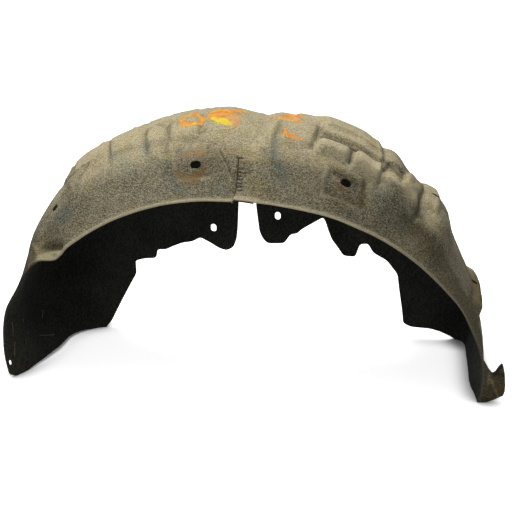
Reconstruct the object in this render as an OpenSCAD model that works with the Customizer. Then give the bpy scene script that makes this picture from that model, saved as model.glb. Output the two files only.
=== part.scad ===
// Wheel arch liner, pressed from one sheet of needled felt
// X runs along the car, Y from the outboard lip to the inboard wall, Z up from the floor
// Angles are taken at the wheel centre from straight up, negative towards -X
// The sheet stands on the ends of its two legs, splayed as it is when it is off the car

/* [Arch] */
// Radius of the outboard lip
arch_r = 395; // [360:5:430]
// How far the centre of the arch lies below the floor that the legs stand on
arch_drop = 83; // [60:1:100]
// Angle at which the arch runs into its legs
leg_a = 60; // [57:1:63]
// Width across the wheel, from the lip to the inboard wall
liner_w = 205; // [190:1:225]
// Thickness of the felt
felt_t = 3.2; // [2.4:0.1:4]

/* [Band] */
// Rise of the band from the lip to its top
band_rise = 84; // [72:1:94]
// Width of the straight flange behind the lip
flange_w = 38; // [30:1:46]
// Width of the round shoulder between that flange and the top
shoulder_w = 40; // [30:1:50]
// How far the top of the band is crowned
crown_h = 7; // [4:1:10]
// How far the foot of the left leg tucks in towards the wheel
left_tuck = 62; // [40:1:75]
// How far the foot of the right leg tucks in towards the wheel
right_tuck = 16; // [8:1:30]
// Angle of the ledge where the band steps out to the left leg
ledge_a = 45.4; // [43:0.1:48]
// Height of that step
ledge_step = 19; // [12:1:24]
// How far the wall of the left foot stands in from the plane of the rest
foot_in = 15; // [8:1:20]
// Height of the shallow arch under the left foot
foot_rise = 7; // [4:1:9]
// Radius of the left foot's outboard corner
foot_corner_r = 9; // [6:1:12]

/* [Inboard wall] */
// Width of the gap between the two tabs
gap_w = 28; // [24:1:34]
// Place of the middle of the gap along the car
gap_x = -13.5; // [-18:0.5:-8]
// Height of the closed end of the gap over the lip
gap_top = 50; // [40:1:60]
// Radius of the rounded corners along the free edge
edge_r = 5; // [3:0.5:7]

/* [Fixing slots] */
// Length of the slots in the band
band_slot_l = 16; // [13:0.5:20]
// Width of the slots in the band
band_slot_w = 11.5; // [8:0.5:12.5]
// Height of the slot in each tab
tab_slot_l = 14; // [12:0.5:17]
// Width of the slot in each tab
tab_slot_w = 9.5; // [7:0.5:11.5]
// Length of the clip slots at the front of the left leg
clip_slot_l = 8; // [7:0.5:12]
// Width of those clip slots
clip_slot_w = 5; // [3:0.5:6.5]

/* [Dart] */
// Angle of the lapped dart in the band
dart_a = -1.3; // [-2:0.1:0]
// Length of the dart from the lip up the band
dart_l = 46; // [36:1:60]
// How far the lapped felt stands over its neighbour at the lip
dart_h = 2.6; // [1.5:0.1:3.2]

/* [Ear] */
// How far the ear at the right foot reaches out from the lip
ear_w = 35; // [28:1:44]
// Height of the ear at the lip
ear_h = 66; // [56:1:76]
// Depth of the notch in the top of the ear
notch_h = 14; // [8:1:18]

/* [Hidden] */

felt = "#7d7a66";

// Each leg is an arc about a centre on the floor, so that its foot meets the floor squarely
leg_r = arch_r - arch_drop / cos(leg_a);
leg_cx = (arch_r - leg_r) * sin(leg_a);

// Stations along the arch, coarse in the legs and split at the dart's lap
leg_steps = 7;
arch_step = 1.25;
lap_gap = 0.16;
boss_a = leg_a + 4.6;
stations = concat(
    [for (k = [0 : leg_steps - 1]) -90 + k * (90 - leg_a) / leg_steps],
    [for (a = [-leg_a : arch_step : dart_a - 0.4]) a],
    [dart_a - lap_gap / 2, dart_a + lap_gap / 2],
    [for (a = [dart_a + 1.1 : arch_step : boss_a]) a],
    [for (k = [1 : leg_steps]) boss_a + k * (90 - boss_a) / leg_steps]);

// Rows of points across the sheet
band_rows = 18;
corner_rows = 3;
wall_rows = 2;

// Set of the lip from the true arc: [angle, mm]
lip_line = [
    [-90, -4], [-84, 1.5], [-74, 9], [-62, 20.4], [-56, 22], [-51, 26.8], [-ledge_a - 2.7, 10 + ledge_step],
    [-ledge_a - 1.4, 8 + ledge_step], [-ledge_a + 1, 12.2], [-ledge_a + 2.2, 10], [-40.5, 12.4], [-36.4, 12],
    [-28.7, 10.8], [-21.7, 8.6], [-15.1, 6.2], [-8.7, 3], [-2.8, -0.2], [4.4, -0.4], [9.3, -0.9],
    [14, 0.2], [18.9, 2.2], [25.6, 3.6], [32.7, 6], [40.5, 7.1], [48, 7.8], [54, 8.8], [60, 5],
    [66, 4], [74, 1.5], [84, -5], [90, -10.5]];

// Rise of the top over the true arc: [angle, share of the band's rise]
top_line = [
    [-90, -0.023], [-75, 0.117], [-64, 0.263], [-56, 0.385], [-50, 0.545], [-42, 0.725], [-36.5, 0.82],
    [-33.5, 0.93], [-30, 0.955], [-20, 0.955], [-5, 0.985], [2, 0.84], [5.5, 0.93], [8, 0.93], [12, 0.935],
    [21, 0.865], [24, 0.825], [28, 0.88], [32.5, 0.7], [36.5, 0.65], [39.6, 0.68], [42, 0.55], [46, 0.41],
    [52, 0.255], [56.5, 0.2], [60, 0.205], [63.6, 0.125], [73, 0.117], [90, -0.023]];

// Share of the flange's width that stays straight, and what the shoulder gains in the legs: [angle, mm]
flange_line = [[-90, 0], [-70, 0.1], [-56, 0.6], [-44, 0.95], [-30, 1], [90, 1]];
shoulder_line = [[-90, 110], [-70, 96], [-56, 34], [-44, 4], [-30, 0], [90, 0]];

// Radius of the corner between band and wall: [angle, mm]
corner_line = [[-90, 72], [-70, 60], [-50, 30], [-35, 18], [60, 18], [90, 24]];

// Depth of the inboard wall below the true arc, before its free edge is cut: [angle, mm]
wall_line = [[-90, 150], [-60, 140], [-30, 136], [-20, 168], [14, 168], [28, 134], [90, 134]];

// Embossed panels: [from angle, to angle, from y, to y, height, blend angle, blend y, lean]
// The lean is how far a panel's sides slant, in degrees over 100 mm of y
panels = [
    [-37, -33.2, 112, 220, 4, 2, 20, -4],
    [-33.4, -26.6, 80, 220, 4, 1.5, 18, -2.7],
    [-25.4, -19.7, 72, 220, 4, 1.2, 16, -3],
    [-18.4, -14.9, 66, 220, 3.5, 1.2, 16, -2],
    [-13.7, -8.4, 60, 220, 3.5, 1.3, 16, -2],
    [-7.8, 2, 74, 220, 3, 1.4, 16, 0],
    [3, 4.9, 50, 130, 4.5, 1.1, 14, 1],
    [6.6, 11.6, 62, 220, 3.5, 1.4, 16, 1.5],
    [13.1, 18.8, 58, 84, 6, 1.2, 12, 0.5],
    [19.8, 25.1, 54, 86, 8, 1.2, 12, 0.5],
    [13, 25.2, 106, 220, 6, 1.6, 9, 0],
    [13.6, 24.6, 134, 220, 4, 1.6, 12, 0],
    [25.8, 29.6, 76, 116, -6, 1.2, 12, 2],
    [30.1, 34.2, 64, 140, 7, 2, 16, 2],
    [35.4, 38.8, 84, 220, 6, 1.8, 20, 1],
    [57.8, 60.8, 60, 220, 5.5, 2.6, 24, 0]];

// Recessed seats round two of the slots, in the same form
seats = [
    [-12.7, -6.3, 21, 47, -4, 1.4, 9, 0],
    [15.9, 23.2, 20, 45, -4.5, 1.3, 9, 0]];

// Slots through the band and the leg: [angle, y, length, width]
slots = [
    [-9.2, 34.3, band_slot_l, band_slot_w],
    [19.7, 39, band_slot_l, band_slot_w],
    [-40, 61, band_slot_l - 3, band_slot_w - 2.5],
    [38.1, 140, band_slot_l - 3, band_slot_w - 2.5],
    [57.6, 130, band_slot_l - 3, band_slot_w - 2.5],
    [-64.2, 10, clip_slot_l, clip_slot_w],
    [-84, 6, clip_slot_l, clip_slot_w]];

// Free edge of the inboard wall on both sides of the gap: [angle, depth below the true arc]
left_edge = [
    [-110, 104], [-92.4, 110.7], [-87, 122], [-81.7, 127], [-62.9, 131.9], [-54.3, 129.3], [-48.6, 124.5],
    [-45, 107.5], [-42.1, 114.7], [-38.6, 126.5], [-36.2, 115.5], [-33.6, 123.5], [-31.2, 124], [-27.2, 125.8],
    [-23.4, 130.4], [-19.8, 127.5], [-16.6, 145.8], [-14.8, 154.1], [-12, 161], [-9, 157], [-7.3, 143.4],
    [-6.4, 125.7], [-5.2, 84]];
right_edge = [
    [0.1, 84], [0.8, 111.2], [1.3, 128.8], [2.6, 141.4], [4.5, 149.5], [8.6, 147], [10.9, 144],
    [12.3, 126.5], [14.5, 122], [15.5, 112.6], [17.1, 103.1], [20.4, 81], [21.5, 85], [23.6, 97.9],
    [25.9, 109.3], [29.3, 117.4], [32.4, 124.5], [35.9, 114.5], [34.4, 92], [36.2, 83], [39.3, 90.1],
    [41.7, 87.5], [44.2, 84.4], [49.6, 87.2], [54.9, 102.5], [62.6, 114.9], [76, 121], [80.5, 109],
    [83.1, 77.8], [85.3, 61.4], [88, 45.9], [91.2, 30.9], [93.9, 18.9], [110, 14]];

function clamp01(t) = min(max(t, 0), 1);
function ease(t) = let (c = clamp01(t)) c * c * (3 - 2 * c);
function unit(v) = v / norm(v);

// Smooth value along a list of [angle, value]
function key_at(keys, a) = max([for (k = [0 : len(keys) - 2]) if (k == 0 || keys[k][0] <= a) k]);
function key_slope(keys, k) =
    let (lo = max(k - 1, 0), hi = min(k + 1, len(keys) - 1))
    (keys[hi][1] - keys[lo][1]) / (keys[hi][0] - keys[lo][0]);
function along(keys, a) =
    let (
        k = key_at(keys, a),
        w = keys[k + 1][0] - keys[k][0],
        t = clamp01((a - keys[k][0]) / w),
        rise = t * t * (3 - 2 * t),
        start = t * (1 - t) * (1 - t) * w * key_slope(keys, k),
        end = t * t * (1 - t) * w * key_slope(keys, k + 1))
    keys[k][1] * (1 - rise) + keys[k + 1][1] * rise + start - end;

// Height of the embossed panels and seats at a place on the sheet
function window(v, from, to, blend) = ease((v - from) / blend + 0.5) * ease((to - v) / blend + 0.5);
lean_y = 80;
function panel(p, a, y) =
    let (upright = a - p[7] * (y - lean_y) / 100)
    p[4] * window(upright, p[0], p[1], p[5]) * window(y, p[2], p[3], p[6]);
function emboss(a, y) =
    let (heights = [for (p = concat(panels, seats)) panel(p, a, y)])
    heights * [for (h = heights) 1];

// The dart laps the sheet on its right, fading up the band and away from the seam
lap_a = 7;
function lap(a, y) =
    a < dart_a ? 0 : dart_h * clamp01(1 - y / dart_l) * (1 - ease((a - dart_a) / lap_a));

// Height of the band over the true arc
tuck_from = leg_a + 2;
function tuck(a) =
    left_tuck * ease((-a - tuck_from) / (90 - tuck_from))
    + right_tuck * ease((a - tuck_from) / (90 - tuck_from));
function top(a) = band_rise * along(top_line, a) - tuck(a);
function wall_y(a) = liner_w - foot_in * ease((-a - tuck_from) / (90 - tuck_from));
function corner_y(a) = wall_y(a) - along(corner_line, a);

// Side of the band as a share of its rise: straight, then round over the shoulder, then level
function flank(a, y) =
    let (
        from = flange_w * along(flange_line, a),
        w = shoulder_w + along(shoulder_line, a),
        slope = 1 / (from + w / 2),
        turn = min(max(y - from, 0), w))
    slope * (min(y, from + w) - turn * turn / (2 * w));
crown_from = flange_w + shoulder_w * 0.55;
function crown(a, y) =
    crown_h * (1 - ease((abs(a) - 50) / 20))
    * sin(180 * clamp01((y - crown_from) / (corner_y(a) - crown_from)));
function band(a, y) =
    let (lip = along(lip_line, a))
    lip + (top(a) - lip) * flank(a, y) + crown(a, y) + emboss(a, y) + lap(a, y);

// A point of the sheet from its angle, its height over the true arc and its y
function place(a, h, y) = abs(a) <= leg_a
    ? [(arch_r + h) * sin(a), y, (arch_r + h) * cos(a) - arch_drop]
    : [sign(a) * leg_cx + (leg_r + h) * sin(a), y, (leg_r + h) * cos(a)];

// One section across the sheet: the band, the corner, then the wall
function section(a) =
    let (
        from_y = corner_y(a),
        c = wall_y(a) - from_y,
        top = band(a, from_y))
    concat(
        [for (i = [0 : band_rows])
            let (y = from_y * i / band_rows) place(a, band(a, y), y)],
        [for (i = [1 : corner_rows])
            let (q = 90 * i / corner_rows) place(a, top - c * (1 - cos(q)), from_y + c * sin(q))],
        [for (i = [1 : wall_rows])
            let (t = i / wall_rows)
            place(a, (top - c) * (1 - t) - along(wall_line, a) * t, wall_y(a))]);

outer = [for (a = stations) section(a)];
cols = len(outer);
rows = len(outer[0]);

// The inner skin lies one felt thickness inside, measured square to the sheet
function at(i, j) = outer[min(max(i, 0), cols - 1)][min(max(j, 0), rows - 1)];
function level_at_foot(i, v) = i == 0 || i == cols - 1 ? [v.x, v.y, 0] : v;
function square_to(i, j) =
    unit(level_at_foot(i, cross(at(i + 1, j) - at(i - 1, j), at(i, j + 1) - at(i, j - 1))));
inner = [for (i = [0 : cols - 1]) [for (j = [0 : rows - 1]) outer[i][j] - felt_t * square_to(i, j)]];

// Both skins and the rim between them as one closed mesh
skin_size = cols * rows;
function id(i, j, k) = k * skin_size + i * rows + j;
function quad(a, b, c, d) = [[a, b, c], [a, c, d]];
skin_faces = [
    for (i = [0 : cols - 2]) for (j = [0 : rows - 2])
        each concat(
            quad(id(i, j, 0), id(i, j + 1, 0), id(i + 1, j + 1, 0), id(i + 1, j, 0)),
            quad(id(i, j, 1), id(i + 1, j, 1), id(i + 1, j + 1, 1), id(i, j + 1, 1)))];
long_rims = [
    for (i = [0 : cols - 2]) each concat(
        quad(id(i, 0, 0), id(i + 1, 0, 0), id(i + 1, 0, 1), id(i, 0, 1)),
        quad(id(i, rows - 1, 0), id(i, rows - 1, 1), id(i + 1, rows - 1, 1), id(i + 1, rows - 1, 0)))];
foot_rims = [
    for (j = [0 : rows - 2]) each concat(
        quad(id(0, j, 0), id(0, j, 1), id(0, j + 1, 1), id(0, j + 1, 0)),
        quad(id(cols - 1, j, 0), id(cols - 1, j + 1, 0), id(cols - 1, j + 1, 1), id(cols - 1, j, 1)))];

module sheet() {
    polyhedron(
        points = concat([for (s = outer) each s], [for (s = inner) each s]),
        faces = concat(skin_faces, long_rims, foot_rims),
        convexity = 10);
}

// What the free edge and the gap between the tabs leave open in the wall
gap_foot = arch_r - arch_drop - wall_line[3][1];
gap_crown = arch_r - arch_drop + gap_top;
function edge_point(p) = let (q = place(p[0], -p[1], 0)) [q.x, q.z];
module wall_opening() {
    offset(edge_r) offset(-2 * edge_r) offset(edge_r) {
        polygon(concat([for (p = left_edge) edge_point(p)], [for (p = right_edge) edge_point(p)]));
        translate([gap_x - gap_w / 2, gap_foot])
            square([gap_w, gap_crown - gap_foot]);
    }
}
module wall_cut() {
    reach = 42;
    translate([0, liner_w + 2, 0])
        rotate([90, 0, 0])
            linear_extrude(reach)
                wall_opening();
}

// The left foot stands on its rounded outboard corner and on the wall, with a shallow arch between
module foot_trim() {
    c = foot_corner_r;
    reach = arch_r / 2;
    half = 80;
    arch_cut_r = (half * half + foot_rise * foot_rise) / (2 * foot_rise);
    translate([-arch_r, 0, 0]) {
        difference() {
            translate([0, -c, -c]) cube([reach, 2 * c, 2 * c]);
            translate([-1, c, c]) rotate([0, 90, 0]) cylinder(r = c, h = reach + 2, $fn = 40);
        }
        translate([0, c * 2 + half, foot_rise - arch_cut_r])
            rotate([0, 90, 0])
                cylinder(r = arch_cut_r, h = reach, $fn = 180);
    }
}

// A slot square to the sheet, its length along the arch
module obround(l, w) {
    for (side = [-1, 1])
        translate([side * (l - w) / 2, 0])
            circle(d = w, $fn = 20);
    square([l - w, w], center = true);
}
module slot_cut(s) {
    reach = 4 * felt_t;
    here = place(s[0], band(s[0], s[1]), s[1]);
    ahead = place(s[0] + 0.5, band(s[0] + 0.5, s[1]), s[1]) - place(s[0] - 0.5, band(s[0] - 0.5, s[1]), s[1]);
    across = place(s[0], band(s[0], s[1] + 3), s[1] + 3) - place(s[0], band(s[0], s[1] - 3), s[1] - 3);
    x = unit(ahead);
    z = unit(cross(ahead, across));
    y = cross(z, x);
    multmatrix([
        [x.x, y.x, z.x, here.x],
        [x.y, y.y, z.y, here.y],
        [x.z, y.z, z.z, here.z],
        [0, 0, 0, 1]])
        translate([0, 0, -reach / 2])
            linear_extrude(reach)
                obround(s[2], s[3]);
}

// Upright slots in the two tabs: [x, depth below the lip of the arch]
tab_slots = [[-70, 127], [36, 101]];
module tab_slot_cut(p) {
    translate([p[0], liner_w + felt_t, arch_r - arch_drop - p[1]])
        rotate([90, 90, 0])
            linear_extrude(3 * felt_t)
                obround(tab_slot_l, tab_slot_w);
}

// Ear folded out from the lip at the right foot, with a notch in its top
foot_x = leg_cx + leg_r + lip_line[len(lip_line) - 1][1];
module ear() {
    clear = 0.4;
    root = felt_t * 0.6;
    translate([foot_x, felt_t + clear, 0])
        rotate([90, 0, 0])
            linear_extrude(felt_t)
                polygon([
                    [-root, clear], [ear_w * 0.45, clear * 2], [ear_w * 0.97, ear_h * 0.18], [ear_w, ear_h * 0.6],
                    [ear_w * 0.88, ear_h], [ear_w * 0.45, ear_h - notch_h], [ear_w * 0.1, ear_h], [-root, ear_h]]);
}

// The origin is at the middle of the footprint, on the floor
x_min = min([for (s = concat(outer, inner)) for (p = s) p.x]);
y_min = min([for (s = concat(outer, inner)) for (p = s) p.y]);
x_mid = (x_min + foot_x + ear_w) / 2;
y_mid = (y_min + liner_w) / 2;

module arch_liner() {
    color(felt)
        translate([-x_mid, -y_mid, 0])
            difference() {
                union() {
                    sheet();
                    ear();
                }
                wall_cut();
                foot_trim();
                for (s = slots)
                    slot_cut(s);
                for (p = tab_slots)
                    tab_slot_cut(p);
            }
}

arch_liner();
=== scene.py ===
"""Dressed model of a pressed felt wheel arch liner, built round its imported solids."""

from __future__ import annotations

import logging
import math
from dataclasses import dataclass, field, replace
from enum import Enum

import bpy
import numpy as np
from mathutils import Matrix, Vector

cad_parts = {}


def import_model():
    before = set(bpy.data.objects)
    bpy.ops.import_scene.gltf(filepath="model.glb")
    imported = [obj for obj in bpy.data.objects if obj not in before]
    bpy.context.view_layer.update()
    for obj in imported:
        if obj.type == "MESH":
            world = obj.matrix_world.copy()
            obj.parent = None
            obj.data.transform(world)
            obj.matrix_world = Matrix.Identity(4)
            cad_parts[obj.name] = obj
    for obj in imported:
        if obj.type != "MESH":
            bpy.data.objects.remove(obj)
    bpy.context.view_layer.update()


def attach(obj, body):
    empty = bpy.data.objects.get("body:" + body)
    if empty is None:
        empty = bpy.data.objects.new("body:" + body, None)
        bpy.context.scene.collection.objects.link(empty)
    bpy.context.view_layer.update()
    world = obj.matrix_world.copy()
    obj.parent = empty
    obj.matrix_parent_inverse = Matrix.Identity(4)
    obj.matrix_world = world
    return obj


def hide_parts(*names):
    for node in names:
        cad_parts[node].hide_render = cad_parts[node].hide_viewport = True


LOG = logging.getLogger("arch_liner")
MM = 0.001
# Millimetres of felt in one degree of the arch, and in one millimetre of y on the sloping flange
RUN, SLANT = 7.3, 1.25
# Sharpest fold that is still shaded smooth
SOFT_FOLD = math.radians(50)
Keys = tuple[tuple[float, float], ...]
Span = tuple[float, float]
Ramp = tuple[float, float]
Colour = tuple[float, float, float, float]
Array = np.ndarray


class Skin(Enum):
    """Faces of the felt sheet, numbered as the slots of their finishes."""

    FACE = 0
    BACK = 1
    CUT = 2


def ease(share: Array) -> Array:
    """Smooth step from 0 to 1."""
    held = np.clip(share, 0.0, 1.0)
    return held * held * (3.0 - 2.0 * held)


def eased(value: Array, span: Span) -> Array:
    """Smooth step over a span, which is given as its start and its length."""
    return ease((value - span[0]) / span[1])


def along(keys: Keys, angle: Array) -> Array:
    """Smooth value along the arch.

    Args:
        keys: Pairs of angle and value, in order.
        angle: Angles to read, in degrees.

    Returns:
        The value at each angle, on a curve through the keys.
    """
    spot, value = np.array(keys, float).T
    count = len(spot)
    before = np.maximum(np.arange(count) - 1, 0)
    after = np.minimum(np.arange(count) + 1, count - 1)
    slope = (value[after] - value[before]) / (spot[after] - spot[before])
    k = np.clip(np.searchsorted(spot, angle, side="right") - 1, 0, count - 2)
    width = spot[k + 1] - spot[k]
    t = np.clip((angle - spot[k]) / width, 0.0, 1.0)
    rise = t * t * (3.0 - 2.0 * t)
    bend = t * (1 - t) ** 2 * width * slope[k] - t * t * (1 - t) * width * slope[k + 1]
    return value[k] * (1 - rise) + value[k + 1] * rise + bend


@dataclass(frozen=True)
class Panel:
    """Panel raised from the sheet, or a seat sunk into it, with soft sides.

    Angles are in degrees and the rest in millimetres. The lean is in degrees for each 100 mm of y.
    """

    a_from: float
    a_to: float
    y_from: float
    y_to: float
    height: float
    soft_a: float
    soft_y: float
    lean: float = 0.0
    pivot_y: float = 80.0

    def share(self, angle: Array, y: Array) -> Array:
        """How far a place lies inside the panel.

        Args:
            angle: Where on the arch.
            y: How far in from the lip.

        Returns:
            From 0 outside to 1 inside, eased at the sides.
        """
        upright = angle - self.lean * (y - self.pivot_y) / 100.0
        return (
            ease((upright - self.a_from) / self.soft_a + 0.5)
            * ease((self.a_to - upright) / self.soft_a + 0.5)
            * ease((y - self.y_from) / self.soft_y + 0.5)
            * ease((self.y_to - y) / self.soft_y + 0.5)
        )


@dataclass(frozen=True)
class Stroke:
    """Line on the sheet through places given as (angle, y), or (x, z) on the ear.

    The height is that of a pressed line in millimetres, or the strength of a mark. A stroke with a
    stretch is that much wider along y than along the arch.
    """

    places: Keys
    half_width: float
    height: float = 1.0
    stretch: float = 1.0
    scale: tuple[float, float] = (RUN, SLANT)

    def distance(self, first: Array, second: Array) -> Array:
        """Distance from the line to each place.

        Args:
            first: Angle of the place, or its x on the ear.
            second: Its y, or its z on the ear.

        Returns:
            The distance in half widths of the line.
        """
        along_x = self.scale[0] / self.half_width
        along_y = self.scale[1] / self.half_width / self.stretch
        best = np.full(np.shape(first + second), 1e6)
        for (a0, y0), (a1, y1) in zip(self.places, self.places[1:]):
            dx, dy = (a1 - a0) * along_x, (y1 - y0) * along_y
            px, py = (first - a0) * along_x, (second - y0) * along_y
            t = np.clip((px * dx + py * dy) / (dx * dx + dy * dy + 1e-9), 0.0, 1.0)
            best = np.minimum(best, np.hypot(px - t * dx, py - t * dy))
        return best

    def rise(self, first: Array, second: Array) -> Array:
        """Height or strength at each place, round across the line."""
        return self.height * np.exp(-(self.distance(first, second) ** 2))


def flat_stroke(places: Keys, half_width: float, height: float) -> Stroke:
    """Stroke on the flat ear, where a unit is a millimetre both ways."""
    return Stroke(places, half_width, height, 1.0, (1, 1))


def soft_marks(strokes: tuple[Stroke, ...], first: Array, second: Array) -> Array:
    """Strength of soft marks together, from 0 to 1."""
    return np.clip(sum(s.rise(first, second) for s in strokes), 0, 1)


def crisp_marks(strokes: tuple[Stroke, ...], first: Array, second: Array) -> Array:
    """How deep a place lies inside crisp marks, in half widths, negative outside."""
    return np.clip(np.max([1 - s.distance(first, second) for s in strokes], 0), -2, 1)


@dataclass(frozen=True)
class Crumple:
    """Uneven surface of the felt: seeded waves over the unrolled sheet."""

    waves: Keys = ((64.0, 0.9), (31.0, 0.55), (15.0, 0.26), (8.5, 0.12))
    seed: int = 11
    cells: int = 96
    start: tuple[float, float] = (40.0, 20.0)

    def rise(self, run: Array, y: Array) -> Array:
        """Height of the crumpled felt.

        Args:
            run: Run along the arch, in millimetres.
            y: Run across it.

        Returns:
            The height in millimetres, round 0.
        """
        total = np.zeros(np.shape(run + y))
        draw = np.random.default_rng(self.seed)
        for length, height in self.waves:
            grid = draw.uniform(-1.0, 1.0, (self.cells, self.cells))
            u, v = run / length + self.start[0], y / length + self.start[1]
            i, j = np.floor(u).astype(int), np.floor(v).astype(int)
            s, t = ease(u - i), ease(v - j)
            i0, i1, j0, j1 = i % self.cells, (i + 1) % self.cells, j % self.cells, (j + 1) % self.cells
            low = grid[i0, j0] * (1 - s) + grid[i1, j0] * s
            high = grid[i0, j1] * (1 - s) + grid[i1, j1] * s
            total += height * (low * (1 - t) + high * t)
        return total


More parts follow.
